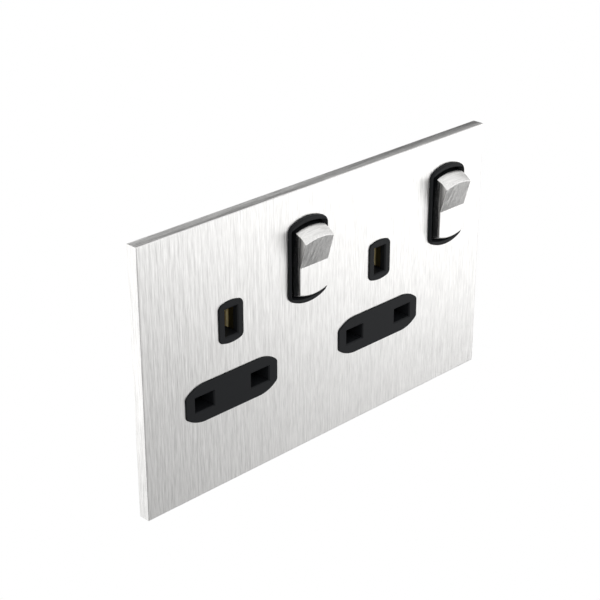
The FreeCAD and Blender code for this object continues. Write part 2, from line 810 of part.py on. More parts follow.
windows = hollow(
    front_housing,
    "insert_windows",
    flange_y,
    d.front_inside,
    lambda o: insert_block(o, d.outlet_x, d.insert_fit),
)
repeat_across(front_housing, "insert_windows_both", windows, d.outlet_pitch)
rocker_openings = hollow(
    front_housing,
    "rocker_openings",
    rim_y,
    d.front_inside,
    lambda o: o.rounded(
        switch(0), d.switch_z, opening_width, opening_height, opening_arc, opening_width / 2, d.rocker_gap
    ),
)
repeat_across(front_housing, "rocker_openings_both", rocker_openings, d.outlet_pitch)
axle_seat = d.axle_radius + d.axle_fit
axle_room = d.axle_span + d.axle_end * 2
axle_seats = carve(
    front_housing,
    "axle_seats",
    ACROSS,
    switch(0) - axle_room / 2,
    axle_room,
    lambda o: o.circle(-d.pivot_ahead, d.switch_z, axle_seat),
)
repeat_across(front_housing, "axle_seats_both", axle_seats, d.outlet_pitch, "N_Axis")
axle_slots = hollow(
    front_housing,
    "axle_slots",
    -d.pivot_ahead,
    d.front_inside,
    lambda o: o.centred_box(switch(0), d.switch_z, axle_room, axle_seat * 2),
)
repeat_across(front_housing, "axle_slots_both", axle_slots, d.outlet_pitch)
slab(
    front_housing,
    "housing_posts",
    d.front_inside,
    d.split_y,
    lambda o: circles(o, case_spots, d.case_post),
)
hollow(
    front_housing,
    "case_screw_holes",
    d.front_inside + d.shell_wall / 2,
    d.split_y,
    lambda o: circles(o, case_spots, d.case_screw_radius + d.screw_fit),
)
hollow(
    front_housing,
    "frame_screw_holes_front",
    flange_y,
    sheet_y,
    lambda o: circles(o, frame_screw_spots, d.frame_screw_radius + d.screw_fit),
)
hollow(
    front_housing,
    "frame_screw_sinks",
    flange_y,
    flange_y + d.frame_screw_sink,
    lambda o: circles(o, frame_screw_spots, d.frame_screw_head + d.screw_fit),
)
finished(front_housing)

guide_inner = d.shutter_half + d.shutter_gap
guide_top = d.line_z + d.shutter_high + d.shutter_travel
guide_foot = d.line_z - d.shutter_low - d.shutter_gap
# The wall round the left box lug guides the shutter above the outermost guide, which ends below it.
lug_foot = -(d.lug_z + d.shell_wall + d.shutter_gap)


def pin_bosses(outline, x):
    line_boss(outline, x, 0)
    earth_boss(outline, x, 0)


def slot_boxes(x):
    """Middle, width and height of the three pin slots of one outlet."""
    lower = [(x + half_pins * sign, d.line_z, d.slot_width, d.slot_height) for sign in (1, -1)]
    return lower + [(x, earth_z, d.earth_slot_width, d.earth_slot_height)]


def pin_slots(outline, x):
    for box in slot_boxes(x):
        outline.centred_box(*box)


def at_slot_mouth(edge, x):
    if not lies_at(edge, boss_y.value):
        return False
    middle = edge.CenterOfMass
    for across, up, width, height in slot_boxes(x):
        beside = abs(middle.x - across.value) - width.value / 2
        above = abs(middle.z - up.value) - height.value / 2
        if max(beside, above) < 1e-3:
            return True
    return False


def shutter_guides(outline, x, left_top):
    for sign, top in ((1, guide_top), (-1, left_top)):
        inner = x + guide_inner * sign
        outline.box(inner, inner + d.guide_width * sign, guide_foot - d.guide_width, top)
    outline.box(x - guide_inner, x + guide_inner, guide_foot - d.guide_width, guide_foot)
    ledge_top = d.spring_ledge_z + d.spring_ledge
    outline.box(x - d.perch_half, x + d.perch_half, d.spring_ledge_z, ledge_top)


def outlet_insert(number):
    """Moulding of one outlet, pressed into the housing until its bosses rest on the flange."""
    mark = number + 1
    x = outlet(number)
    insert = new_body(f"outlet_insert_{mark}")
    slab(insert, f"insert_block_{mark}", flange_y, d.front_inside, lambda o: insert_block(o, x, as_size(0)))
    slab(insert, f"pin_bosses_{mark}", boss_y, flange_y, lambda o: pin_bosses(o, x))
    round_edges(insert, f"boss_rounding_{mark}", d.boss_edge, lambda edge: lies_at(edge, boss_y.value))
    hollow(insert, f"pin_slots_{mark}", boss_y, d.front_inside, lambda o: pin_slots(o, x))
    bevel_edges(insert, f"slot_leads_{mark}", d.slot_lead, lambda edge: at_slot_mouth(edge, x))
    hollow(
        insert,
        f"earth_pocket_{mark}",
        boss_y + d.earth_skin,
        d.front_inside,
        lambda o: o.centred_box(x, earth_z, d.earth_pocket, d.earth_slot_height),
    )
    guide_back = d.shutter_back - d.shutter_gap
    left_top = lug_foot if number == 0 else guide_top
    slab(insert, f"shutter_guides_{mark}", d.front_inside, guide_back, lambda o: shutter_guides(o, x, left_top))
    grow(
        insert,
        f"ledge_spigot_{mark}",
        UPWARD,
        d.spring_ledge_z - d.spigot_height,
        d.spigot_height + d.bite,
        lambda o: o.circle(x, d.shutter_spring_y, d.spigot_radius),
    )
    finished(insert)


for number in (0, 1):
    outlet_insert(number)

# Rear cover: closes the back of the housing, with posts under the brass and windows for the terminals.
rear_cover = new_body("rear_cover")
slab(rear_cover, "cover_block", d.split_y, back_y, lambda o: notched(o, 0, 0))
round_edges(rear_cover, "cover_corners", d.body_corner, at_case_corner)
hollow(
    rear_cover,
    "cover_inside",
    d.split_y,
    d.floor_y,
    lambda o: notched(o, -d.shell_wall, -d.shell_wall),
)
slab(rear_cover, "cover_posts", d.split_y, d.floor_y, lambda o: circles(o, case_spots, d.case_post))
hollow(
    rear_cover,
    "cover_screw_holes",
    d.split_y,
    back_y,
    lambda o: circles(o, case_spots, d.case_screw_radius + d.screw_fit),
)
hollow(
    rear_cover,
    "cover_screw_sinks",
    back_y - d.case_screw_sink,
    back_y,
    lambda o: circles(o, case_spots, d.case_screw_head + d.screw_fit * 4),
)
bar_middle = (d.neutral_bar_low + d.neutral_bar_high) / 2
arm_middle = (d.arm_low + d.arm_high) / 2


def rest(outline, across, up):
    outline.centred_box(across, up, d.rest_half * 2, d.rest_half * 2)


def strip_rests(outline):
    rest(outline, d.outlet_x + half_pins / 2, bar_middle)
    rest(outline, d.earth_terminal_b + d.terminal_width / 2, bar_middle)
    for number in (0, 1):
        rest(outline, outlet(number) + half_pins, earth_z / 2)
        rest(outline, switch(number) - d.axle_span / 2, arm_middle)


slab(rear_cover, "strip_rests", strip_back_y, d.floor_y, strip_rests)


def live_bar_rests(outline):
    for number in (0, 1):
        rest(outline, switch(number) + (d.axle_span - d.axle_span * 2 * number), d.switch_z)


slab(rear_cover, "live_bar_rests", d.live_bar_y + d.strip, d.floor_y, live_bar_rests)


def shutter_stays(outline):
    for number in (0, 1):
        for sign in (1, -1):
            rest(outline, outlet(number) + half_pins / 2 * sign, d.line_z + d.shutter_high)


slab(rear_cover, "shutter_stays", d.shutter_back + d.shutter_gap, d.floor_y, shutter_stays)
lower_terminals = (d.neutral_terminal_x, d.earth_terminal_a, d.earth_terminal_b)
clamp_low = d.body_bottom + d.shell_wall + d.terminal_height / 2
clamp_high = d.body_top - d.shell_wall - d.terminal_height / 2
clamp_spots = [(across, clamp_low) for across in lower_terminals] + [(d.live_terminal_x, clamp_high)]
hollow(rear_cover, "clamp_access", d.floor_y, back_y, lambda o: circles(o, clamp_spots, d.clamp_access))


def terminal_windows(outline):
    half = d.terminal_width / 2 + d.terminal_fit
    for across in lower_terminals:
        outline.box(
            across - half,
            across + half,
            d.body_bottom - d.bite,
            d.body_bottom + d.shell_wall + d.bite,
        )
    outline.box(
        d.live_terminal_x - half,
        d.live_terminal_x + half,
        d.body_top - d.shell_wall - d.bite,
        d.body_top + d.bite,
    )


window_front = d.floor_y - d.terminal_depth - d.terminal_fit
hollow(rear_cover, "terminal_windows", window_front, d.floor_y, terminal_windows)
finished(rear_cover)


def brass_clip(outline, up):
    """A folded clip seen from the side, open to the front."""
    front = d.clip_y - d.clip_mouth
    throat = d.clip_y - d.clip_throat
    rows = [(front, d.clip_flare), (throat, d.clip_grip), (d.clip_y, d.clip_root)]
    outer = [(y, half + d.strip) for y, half in rows[:2]] + [(strip_back_y, d.clip_root + d.strip)]
    points = [(y, up + half) for y, half in outer]
    points += [(y, up - half) for y, half in reversed(outer)]
    points += [(y, up - half) for y, half in rows]
    points += [(y, up + half) for y, half in reversed(rows)]
    outline.polygon(points)


# Neutral bar: one pressing that links both neutral clips to their terminal.
neutral_bar = new_body("neutral_bar")
terminal_top = d.body_bottom + d.shell_wall + d.terminal_height
clip_base = d.clip_root + d.strip
neutral_left = outlet(0) - half_pins
neutral_right = outlet(1) - half_pins


def neutral_strip(outline):
    half = d.clip_width / 2
    tab = d.terminal_width / 4
    outline.polygon(
        [
            (neutral_left - half, d.neutral_bar_low),
            (d.neutral_terminal_x - tab, d.neutral_bar_low),
            (d.neutral_terminal_x - tab, terminal_top),
            (d.neutral_terminal_x + tab, terminal_top),
            (d.neutral_terminal_x + tab, d.neutral_bar_low),
            (neutral_right + half, d.neutral_bar_low),
            (neutral_right + half, d.line_z + clip_base),
            (neutral_right - half, d.line_z + clip_base),
            (neutral_right - half, d.neutral_bar_high),
            (neutral_left + half, d.neutral_bar_high),
            (neutral_left + half, d.line_z + clip_base),
            (neutral_left - half, d.line_z + clip_base),
        ]
    )


slab(neutral_bar, "neutral_strip", d.clip_y, strip_back_y, neutral_strip)
for number, place in enumerate((neutral_left, neutral_right)):
    grow(
        neutral_bar,
        f"neutral_clip_{number + 1}",
        ACROSS,
        place - d.clip_width / 2,
        d.clip_width,
        lambda o: brass_clip(o, d.line_z),
    )
finished(neutral_bar)


def live_contact(number):
    """Clip for the live pin with a strip up to the fixed side of the switch."""
    body = new_body(f"live_contact_{number + 1}")
    place = outlet(number) + half_pins
    half = d.clip_width / 2
    side = d.riser_width / 2

    def live_strip(outline):
        outline.polygon(
            [
                (place - half, d.line_z - clip_base),
                (place + half, d.line_z - clip_base),
                (place + half, d.line_z + clip_base),
                (place + side, d.line_z + clip_base),
                (place + side, d.arm_low),
                (switch(number) + d.arm_past, d.arm_low),
                (switch(number) + d.arm_past, d.arm_high),
                (place - side, d.arm_high),
                (place - side, d.line_z + clip_base),
                (place - half, d.line_z + clip_base),
            ]
        )

    slab(body, f"live_strip_{number + 1}", d.clip_y, strip_back_y, live_strip)
    grow(
        body,
        f"live_clip_{number + 1}",
        ACROSS,
        place - half,
        d.clip_width,
        lambda o: brass_clip(o, d.line_z),
    )
    return finished(body)


for number in (0, 1):
    live_contact(number)

# Live bar: carries the supply from its terminal to the fulcrum of each moving contact.
live_bar = new_body("live_bar")
terminal_foot = d.body_top - d.shell_wall - d.terminal_height


def live_bar_strip(outline):
    low = d.switch_z - d.live_bar_half
    high = d.switch_z + d.live_bar_half
    left = switch(0) - d.live_bar_past
    right = switch(1) + d.live_bar_past
    tab = d.terminal_width / 4
    outline.polygon(
        [
            (left, low),
            (right, low),
            (right, high),
            (d.live_terminal_x + tab, high),
            (d.live_terminal_x + tab, terminal_foot),
            (d.live_terminal_x - tab, terminal_foot),
            (d.live_terminal_x - tab, high),
            (left, high),
        ]
    )


slab(live_bar, "live_bar_strip", d.live_bar_y, d.live_bar_y + d.strip, live_bar_strip)
for number in (0, 1):
    grow(
        live_bar,
        f"fulcrum_{number + 1}",
        ACROSS,
        switch(number) - d.blade_width / 2,
        d.blade_width,
        lambda o: o.polygon(
            [
                (d.live_bar_y + d.bite, d.switch_z - d.ridge_half),
                (d.live_bar_y + d.bite, d.switch_z + d.ridge_half),
                (d.live_bar_y - d.ridge_rise, d.switch_z),
            ]
        ),
    )
finished(live_bar)

# Earth bar: lies on the floor of the rear cover and carries both earth contacts.
earth_bar = new_body("earth_bar")
earth_front = d.floor_y - d.strip


def earth_strip(outline):
    half = d.clip_root + d.strip
    low = earth_z - d.earth_bar_half
    high = earth_z + d.earth_bar_half
    outline.polygon(
        [
            (outlet(0) - half, low),
            (d.earth_leg_left, low),
            (d.earth_leg_left, terminal_top),
            (d.earth_leg_right, terminal_top),
            (d.earth_leg_right, low),
            (outlet(1) + half, low),
            (outlet(1) + half, high),
            (outlet(0) - half, high),
        ]
    )


slab(earth_bar, "earth_strip", earth_front, d.floor_y, earth_strip)


def earth_clip(outline):
    rows = [
        (d.earth_mouth_y, d.clip_flare),
        (d.earth_bend_y, d.earth_bend),
        (d.earth_throat_y, d.clip_grip),
        (earth_front, d.clip_root),
    ]
    outer = [(y, half + d.strip) for y, half in rows[:3]] + [(d.floor_y, d.clip_root + d.strip)]
    points = [(d.outlet_x + half, y) for y, half in outer]
    points += [(d.outlet_x - half, y) for y, half in reversed(outer)]
    points += [(d.outlet_x - half, y) for y, half in rows]
    points += [(d.outlet_x + half, y) for y, half in reversed(rows)]
    outline.polygon(points)


earth_clips = grow(
    earth_bar, "earth_clips", UPWARD, earth_z - d.earth_clip_height / 2, d.earth_clip_height, earth_clip
)
repeat_across(earth_bar, "earth_clips_both", earth_clips, d.outlet_pitch)
finished(earth_bar)


def terminal(name, spot, low, high, mouth_low):
    """A brass block with a wire hole at its outer end and a screw hole from behind."""
    across, clamp = spot
    body = new_body(name)
    front = d.floor_y - d.terminal_depth
    half = d.terminal_width / 2
    slab(body, f"{name}_block", front, d.floor_y, lambda o: o.box(across - half, across + half, low, high))
    carve(
        body,
        f"{name}_tunnel",
        UPWARD,
        low if mouth_low else high - d.tunnel_length,
        d.tunnel_length,
        lambda o: o.circle(across, d.tunnel_y, d.tunnel_radius),
    )
    hollow(
        body,
        f"{name}_thread",
        d.tunnel_y,
        d.floor_y,
        lambda o: o.circle(across, clamp, d.clamp_radius + d.screw_fit),
    )
    return finished(body)


lower_mouth = d.body_bottom + d.terminal_recess
upper_mouth = d.body_top - d.terminal_recess
lower_names = ("neutral_terminal", "earth_terminal_1", "earth_terminal_2")
for name, spot in zip(lower_names, clamp_spots):
    terminal(name, spot, lower_mouth, terminal_top, True)
terminal("live_terminal", clamp_spots[-1], terminal_foot, upper_mouth, False)


def rod(name, radius, across, up, front, back):
    """A round bar that runs from front to back."""
    bar = document.addObject("Part::Cylinder", name)
    back = as_size(back)
    bar.Placement = FreeCAD.Placement(FreeCAD.Vector(), FreeCAD.Rotation(FreeCAD.Vector(1, 0, 0), QUARTER_TURN))
    bind(bar, "Radius", radius)
    bind(bar, "Height", back - front)
    bind(bar, "Placement.Base.x", across)
    bind(bar, "Placement.Base.y", back)
    bind(bar, "Placement.Base.z", up)
    return bar


def slot_bar(name, across, up, front, back, width, height):
    block = document.addObject("Part::Box", name)
    front = as_size(front)
    bind(block, "Length", width)
    bind(block, "Width", as_size(back) - front)
    bind(block, "Height", height)
    bind(block, "Placement.Base.x", across - as_size(width) / 2)
    bind(block, "Placement.Base.y", front)
    bind(block, "Placement.Base.z", up - as_size(height) / 2)
    return block


def screws(name, spots, head, head_front, head_back, shank, shank_front, shank_back, slot_at_front, neck=None):
    """A set of like slotted screws, with a plain neck under the head where one is given."""
    made = []
    slot_depth = (as_size(head_back) - head_front) / 2
    for number, (across, up) in enumerate(spots, start=1):
        knob = rod(f"{name}_head_{number}", head, across, up, head_front, head_back)
        stem = rod(f"{name}_stem_{number}", shank, across, up, shank_front, shank_back)
        joined = [knob, stem]
        if neck is not None:
            joined.append(rod(f"{name}_neck_{number}", neck[0], across, up, shank_front, neck[1]))
        whole = document.addObject("Part::MultiFuse", f"{name}_whole_{number}")
        whole.Shapes = joined
        if slot_at_front:
            near, far = as_size(head_front) - d.bite, as_size(head_front) + slot_depth
        else:
            near, far = as_size(head_back) - slot_depth, as_size(head_back) + d.bite
        slot = slot_bar(f"{name}_slot_{number}", across, up, near, far, head * 3, head / 3)
        cut = document.addObject("Part::Cut", f"{name}_{number}")
        cut.Base = whole
        cut.Tool = slot
        made.append(cut)
    group = document.addObject("Part::Compound", name)
    group.Links = made
    group.Label = name
    document.recompute()
    return finished(group)


fixing_spots = [(d.fixing_pitch / 2 * sign, as_size(0)) for sign in (1, -1)]
screws(
    "fixing_screws",
    fixing_spots,
    d.fixing_head,
    sheet_y - d.fixing_head_depth,
    sheet_y,
    d.fixing_radius,
    sheet_y - d.bite,
    sheet_y + d.fixing_length,
    True,
    (d.fixing_neck, d.fixing_neck_end),
)
screws(
    "frame_screws",
    frame_screw_spots,
    d.frame_screw_head,
    flange_y,
    flange_y + d.frame_screw_sink,
    d.frame_screw_radius,
    flange_y + d.frame_screw_sink - d.bite,
    0,
    True,
)
case_seat = back_y - d.case_screw_sink
screws(
    "case_screws",
    case_spots,
    d.case_screw_head,
    case_seat,
    back_y,
    d.case_screw_radius,
    case_seat - d.case_screw_length,
    case_seat + d.bite,
    False,
)
screws(
    "terminal_screws",
    clamp_spots,
    d.clamp_head,
    d.floor_y,
    d.floor_y + d.clamp_head_depth,
    d.clamp_radius,
    d.tunnel_y + d.tunnel_radius,
    d.floor_y + d.bite,
    False,
)


def coil(name, radius, length, turns):
    """A spring of square wire along its own Z, with its lower end at the origin."""
    wire = d.spring_wire
    spiral = document.addObject("Part::Helix", f"{name}_path")
    bind(spiral, "Radius", radius)
    bind(spiral, "Pitch", (as_size(length) - wire) / turns)
    bind(spiral, "Height", as_size(length) - wire)
    section = document.addObject("Part::Plane", f"{name}_section")
    bind(section, "Length", wire)
    bind(section, "Width", wire)
    section.Placement = FreeCAD.Placement(
        FreeCAD.Vector(), FreeCAD.Rotation(FreeCAD.Vector(1, 0, 0), QUARTER_TURN)
    )
    bind(section, "Placement.Base.x", as_size(radius) - wire / 2)
    bind(section, "Placement.Base.z", -wire / 2)
    sweep = document.addObject("Part::Sweep", name)
    sweep.Sections = [section]
    sweep.Spine = (spiral, ["Edge1"])
    sweep.Solid = True
    sweep.Frenet = True
    sweep.Label = name
    document.recompute()
    return sweep


PLUNGER_TURNS = 3
SHUTTER_TURNS = 4


def shutter(number):
    """Sliding guard behind the lower slots: two ramps on one web, held down by a spring."""
    body = new_body(f"shutter_{number + 1}")
    x = outlet(number)
    low = d.line_z - d.shutter_low
    high = d.line_z + d.shutter_high
    slab(
        body,
        f"shutter_web_{number + 1}",
        d.shutter_back - d.shutter_web,
        d.shutter_back,
        lambda o: o.box(x - d.shutter_half, x + d.shutter_half, low, high),
    )
    for side, sign in (("left", -1), ("right", 1)):
        grow(
            body,
            f"ramp_{side}_{number + 1}",
            ACROSS,
            x + half_pins * sign - d.ramp_width / 2,
            d.ramp_width,
            lambda o: o.polygon(
                [
                    (d.shutter_front, high),
                    (d.shutter_front, high - d.ramp_top),
                    (d.shutter_back - d.shutter_web / 2, low),
                    (d.shutter_back, low),
                    (d.shutter_back, high),
                ]
            ),
        )
    slab(
        body,
        f"perch_{number + 1}",
        d.shutter_spring_y * 2 - d.shutter_back,
        d.shutter_back,
        lambda o: o.box(x - d.perch_half, x + d.perch_half, high - d.perch_height, high),
    )
    grow(
        body,
        f"spigot_{number + 1}",
        UPWARD,
        high - d.bite,
        d.spigot_height + d.bite,
        lambda o: o.circle(x, d.shutter_spring_y, d.spigot_radius),
    )
    finished(body)
    room = d.spring_ledge_z - high
    spring = coil(f"shutter_spring_{number + 1}", d.shutter_spring_coil, room - d.bite, SHUTTER_TURNS)
    bind(spring, "Placement.Base.x", x)
    bind(spring, "Placement.Base.y", d.shutter_spring_y)
    bind(spring, "Placement.Base.z", high + (d.spring_wire + d.bite) / 2)
    document.recompute()
    finished(spring)


for number in (0, 1):
    shutter(number)

half_swing = d.rocker_swing / 2


def tilt_on_pivot(body, number):
    """Stands a switch piece on its pivot, lower face pressed flush."""
    body.Placement = FreeCAD.Placement(
        FreeCAD.Vector(), FreeCAD.Rotation(FreeCAD.Vector(1, 0, 0), half_swing.value)
    )
    bind(body, "Placement.Base.x", switch(number))
    bind(body, "Placement.Base.y", -d.pivot_ahead)
    bind(body, "Placement.Base.z", d.switch_z)
    bind(body, "Placement.Rotation.Angle", half_swing)
    document.recompute()


def barrel(body, name, width, radius, arc):
    """Turns the end curve of a rocker about its pivot."""
    outline = Outline(body, f"{name}_outline", UPWARD, 0)
    half = width / 2
    drop = math.sqrt(arc.value**2 - half.value**2)
    lean = math.atan2(drop, half.value)
    top = radius.value - arc.value
    base = outline.line((-half.value, 0), (half.value, 0))
    right = outline.line((half.value, 0), (half.value, top + drop))
    curve = outline.arc(0, top, arc.value, lean, math.pi - lean)
    left = outline.line((-half.value, top + drop), (-half.value, 0))
    ring = [base, right, curve, left]
    for index, piece in enumerate(ring):
        following = ring[(index + 1) % len(ring)]
        outline.sketch.addConstraint(Sketcher.Constraint("Coincident", piece, 2, following, 1))
    outline.sketch.addConstraint(Sketcher.Constraint("PointOnObject", base, 1, -1))
    outline.sketch.addConstraint(Sketcher.Constraint("PointOnObject", base, 2, -1))
    outline.sketch.addConstraint(Sketcher.Constraint("PointOnObject", curve, 3, -2))
    outline.sketch.addConstraint(Sketcher.Constraint("Vertical", right))
    outline.sketch.addConstraint(Sketcher.Constraint("Vertical", left))
    outline.tie("DistanceX", -1, 1, base, 1, size=-half)
    outline.tie("DistanceX", -1, 1, base, 2, size=half)
    outline.tie("Radius", curve, size=arc)
    outline.tie("DistanceY", -1, 1, curve, 3, size=radius - arc)
    turned = body.newObject("PartDesign::Revolution", name)
    turned.Profile = outline.sketch
    turned.ReferenceAxis = (outline.sketch, ["H_Axis"])
    turned.Angle = 360
    document.recompute()
    return turned


def rocker(number):
    """Metal cap, moulded dolly, plunger and spring of one switch, drawn upright about the pivot."""
    mark = number + 1
    far = d.rocker_radius * 2
    cap = new_body(f"rocker_cap_{mark}")
    barrel(cap, f"cap_barrel_{mark}", d.rocker_width, d.rocker_radius, d.rocker_arc)
    lean = tangent_of(half_swing)
    valley = d.rocker_face / cosine_of(half_swing)
    rise = valley + far * lean

    def ahead_of_faces(outline):
        outline.polygon([(-valley, 0), (-rise, far), (-far, far), (-far, -far), (-rise, -far)])

    start = -d.rocker_width / 2 - d.bite
    length = d.rocker_width + d.bite * 2
    carve(cap, f"cap_faces_{mark}", ACROSS, start, length, ahead_of_faces)
    carve(
        cap,
        f"cap_back_{mark}",
        ACROSS,
        start,
        length,
        lambda o: o.box(-d.rocker_skirt, far, -far, far),
    )
    def on_cap_rim(edge):
        """Edges round the two faces and up the four corners, but not the valley or the back."""
        ends = edge.Vertexes
        if len(ends) != 2:
            return False
        middle = edge.valueAt((edge.FirstParameter + edge.LastParameter) / 2)
        in_valley = abs(middle.z) < 0.01 and abs(middle.x) < 0.01
        at_back = all(abs(end.Y + d.rocker_skirt.value) < 1e-4 for end in ends)
        return not in_valley and not at_back

    round_edges(cap, f"cap_rounding_{mark}", d.rocker_edge, on_cap_rim)
    insert_half = d.rocker_width / 2 - d.rocker_skin
    insert_tall = d.dolly_height / 2
    insert_front = d.rocker_face - d.rocker_skin
    zero = as_size(0)
    hollow(
        cap,
        f"cap_socket_{mark}",
        -insert_front,
        -d.rocker_skirt,
        lambda o: o.centred_box(zero, zero, insert_half * 2, insert_tall * 2),
    )
    tilt_on_pivot(cap, number)
    finished(cap)

    dolly = new_body(f"rocker_dolly_{mark}")
    barrel(
        dolly,
        f"dolly_barrel_{mark}",
        d.rocker_width - d.dolly_step * 2,
        d.rocker_radius - d.dolly_step,
        d.rocker_arc,
    )
    carve(
        dolly,
        f"dolly_front_{mark}",
        ACROSS,
        start,
        length,
        lambda o: o.box(-far, -d.rocker_skirt, -far, far),
    )
    carve(
        dolly,
        f"dolly_rear_{mark}",
        ACROSS,
        start,
        length,
        lambda o: o.box(d.dolly_back, far, -far, far),
    )
    fit = d.axle_fit
    slab(
        dolly,
        f"dolly_insert_{mark}",
        -insert_front,
        -d.rocker_skirt,
        lambda o: o.centred_box(zero, zero, (insert_half - fit) * 2, (insert_tall - fit) * 2),
    )
    grow(
        dolly,
        f"axles_{mark}",
        ACROSS,
        -d.axle_span / 2,
        d.axle_span,
        lambda o: o.circle(0, 0, d.axle_radius),
    )
    slab(
        dolly,
        f"tube_{mark}",
        d.dolly_back - d.bite,
        d.tube_reach,
        lambda o: o.circle(0, 0, d.tube_radius),
    )
    bore_end = d.plunger_reach - d.plunger_length - d.plunger_spring_length
    hollow(
        dolly,
        f"tube_bore_{mark}",
        bore_end,
        d.tube_reach,
        lambda o: o.circle(0, 0, d.tube_bore),
    )
    tilt_on_pivot(dolly, number)
    finished(dolly)

    plunger = new_body(f"plunger_{mark}")
    nose = d.plunger_reach
    slab(
        plunger,
        f"plunger_stem_{mark}",
        nose - d.plunger_length,
        nose,
        lambda o: o.circle(0, 0, d.plunger_radius),
    )
    round_edges(
        plunger,
        f"plunger_nose_{mark}",
        d.plunger_radius - d.bite / 2,
        lambda edge: lies_at(edge, nose.value) and len(edge.Vertexes) == 1,
    )
    tilt_on_pivot(plunger, number)
    finished(plunger)

    spring = coil(
        f"plunger_spring_{mark}", d.plunger_spring_coil, d.plunger_spring_length - d.bite, PLUNGER_TURNS
    )
    lay = half_swing + QUARTER_TURN
    spring.Placement = FreeCAD.Placement(
        FreeCAD.Vector(), FreeCAD.Rotation(FreeCAD.Vector(1, 0, 0), lay.value)
    )
    offset = d.plunger_reach - d.plunger_length - (d.spring_wire + d.bite) / 2
    bind(spring, "Placement.Base.x", switch(number))
    bind(spring, "Placement.Base.y", offset * cosine_of(half_swing) - d.pivot_ahead)
    bind(spring, "Placement.Base.z", d.switch_z + offset * sine_of(half_swing))
    bind(spring, "Placement.Rotation.Angle", lay)
    document.recompute()
    finished(spring)


for number in (0, 1):
    rocker(number)


def tilt_on_fulcrum(piece, number):
    """Stands a piece of the moving contact on its fulcrum, upper end against the fixed tip."""
    piece.Placement = FreeCAD.Placement(
        FreeCAD.Vector(), FreeCAD.Rotation(FreeCAD.Vector(-1, 0, 0), d.blade_tilt.value)
    )
    bind(piece, "Placement.Base.x", switch(number))
    bind(piece, "Placement.Base.y", d.blade_y)
    bind(piece, "Placement.Base.z", d.switch_z)
    bind(piece, "Placement.Rotation.Angle", d.blade_tilt)
    document.recompute()


def moving_contact(number):
    mark = number + 1
    blade = new_body(f"moving_contact_{mark}")
    half = d.blade_width / 2
    waist = half - d.blade_notch
    notch = d.ridge_half

    def blade_shape(outline):
        outline.polygon(
            [
                (half, -d.blade_half),
                (half, -notch),
                (waist, -notch),
                (waist, notch),
                (half, notch),
                (half, d.blade_half),
                (-half, d.blade_half),
                (-half, notch),
                (-waist, notch),
                (-waist, -notch),
                (-half, -notch),
                (-half, -d.blade_half),
            ]
        )

    slab(blade, f"blade_{mark}", -d.blade_gap - d.strip, -d.blade_gap, blade_shape)
    tilt_on_fulcrum(blade, number)
    finished(blade)

    tip = new_body(f"moving_tip_{mark}")
    slab(
        tip,
        f"tip_face_{mark}",
        -d.blade_gap,
        d.moving_tip - d.blade_gap,
        lambda o: o.circle(0, d.tip_up, d.tip_radius),
    )
    tilt_on_fulcrum(tip, number)
    finished(tip)

    fixed = new_body(f"fixed_tip_{mark}")
    slab(
        fixed,
        f"fixed_face_{mark}",
        d.fixed_tip_y,
        d.clip_y,
        lambda o: o.circle(switch(number), d.switch_z + d.tip_up, d.tip_radius),
    )
    finished(fixed)


for number in (0, 1):
    moving_contact(number)

document.recompute()
faults = []
for thing in document.Objects:
    if {"Invalid", "Error"} & set(thing.State):
        faults.append(f"{thing.Name}: {thing.State}")
for piece in pieces:
    if piece.Shape.isNull() or not piece.Shape.isValid() or not piece.Shape.Solids:
        faults.append(f"{piece.Label}: no sound solid")
if faults:
    raise RuntimeError("; ".join(faults))
os.makedirs("parts", exist_ok=True)
for piece in pieces:
    piece.Shape.exportStep(f"parts/{piece.Label}.step")
    box = piece.Shape.BoundBox
    print(piece.Label, len(piece.Shape.Solids), round(piece.Shape.Volume, 1),
          [round(v, 2) for v in (box.XMin, box.XMax, box.YMin, box.YMax, box.ZMin, box.ZMax)])
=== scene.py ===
import json
import math

import bmesh
import bpy
from bpy.props import FloatProperty, FloatVectorProperty, IntProperty, PointerProperty
from mathutils import Matrix, Vector


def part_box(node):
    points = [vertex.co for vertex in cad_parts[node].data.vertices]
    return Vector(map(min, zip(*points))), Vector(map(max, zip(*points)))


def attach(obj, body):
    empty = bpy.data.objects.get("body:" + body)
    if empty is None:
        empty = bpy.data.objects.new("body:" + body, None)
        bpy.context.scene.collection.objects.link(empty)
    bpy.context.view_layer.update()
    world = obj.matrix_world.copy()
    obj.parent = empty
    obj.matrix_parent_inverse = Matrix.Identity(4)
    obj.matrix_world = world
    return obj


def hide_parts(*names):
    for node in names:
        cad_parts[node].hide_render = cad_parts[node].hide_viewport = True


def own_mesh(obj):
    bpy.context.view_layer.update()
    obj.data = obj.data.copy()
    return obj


bl_info = {
    "name": "Twin socket finishes",
    "version": (1, 0, 0),
    "blender": (4, 5, 0),
    "location": "View3D > Sidebar > Socket",
    "description": "Finishes, surrounds, threads, springs and studio for a twin switched socket outlet",
    "category": "Object",
}

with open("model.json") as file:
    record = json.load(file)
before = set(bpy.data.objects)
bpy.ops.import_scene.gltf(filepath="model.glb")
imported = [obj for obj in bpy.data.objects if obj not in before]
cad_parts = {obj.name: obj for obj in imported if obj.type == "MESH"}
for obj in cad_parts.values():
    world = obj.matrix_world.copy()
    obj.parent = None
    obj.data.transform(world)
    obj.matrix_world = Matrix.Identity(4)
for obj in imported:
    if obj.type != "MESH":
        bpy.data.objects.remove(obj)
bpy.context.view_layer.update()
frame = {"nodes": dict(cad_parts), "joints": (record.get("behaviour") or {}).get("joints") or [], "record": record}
NODES = frame["nodes"]
SLOT_OF = {piece["node"]: piece["material_slot"] for piece in frame["record"]["subparts"]}
MM = 0.001
SAME_POINT = 1e-7
INTO_WALL = (0.0, 1.0, 0.0)
BLACK = (0.0, 0.0, 0.0, 1.0)
WHITE = (1.0, 1.0, 1.0, 1.0)


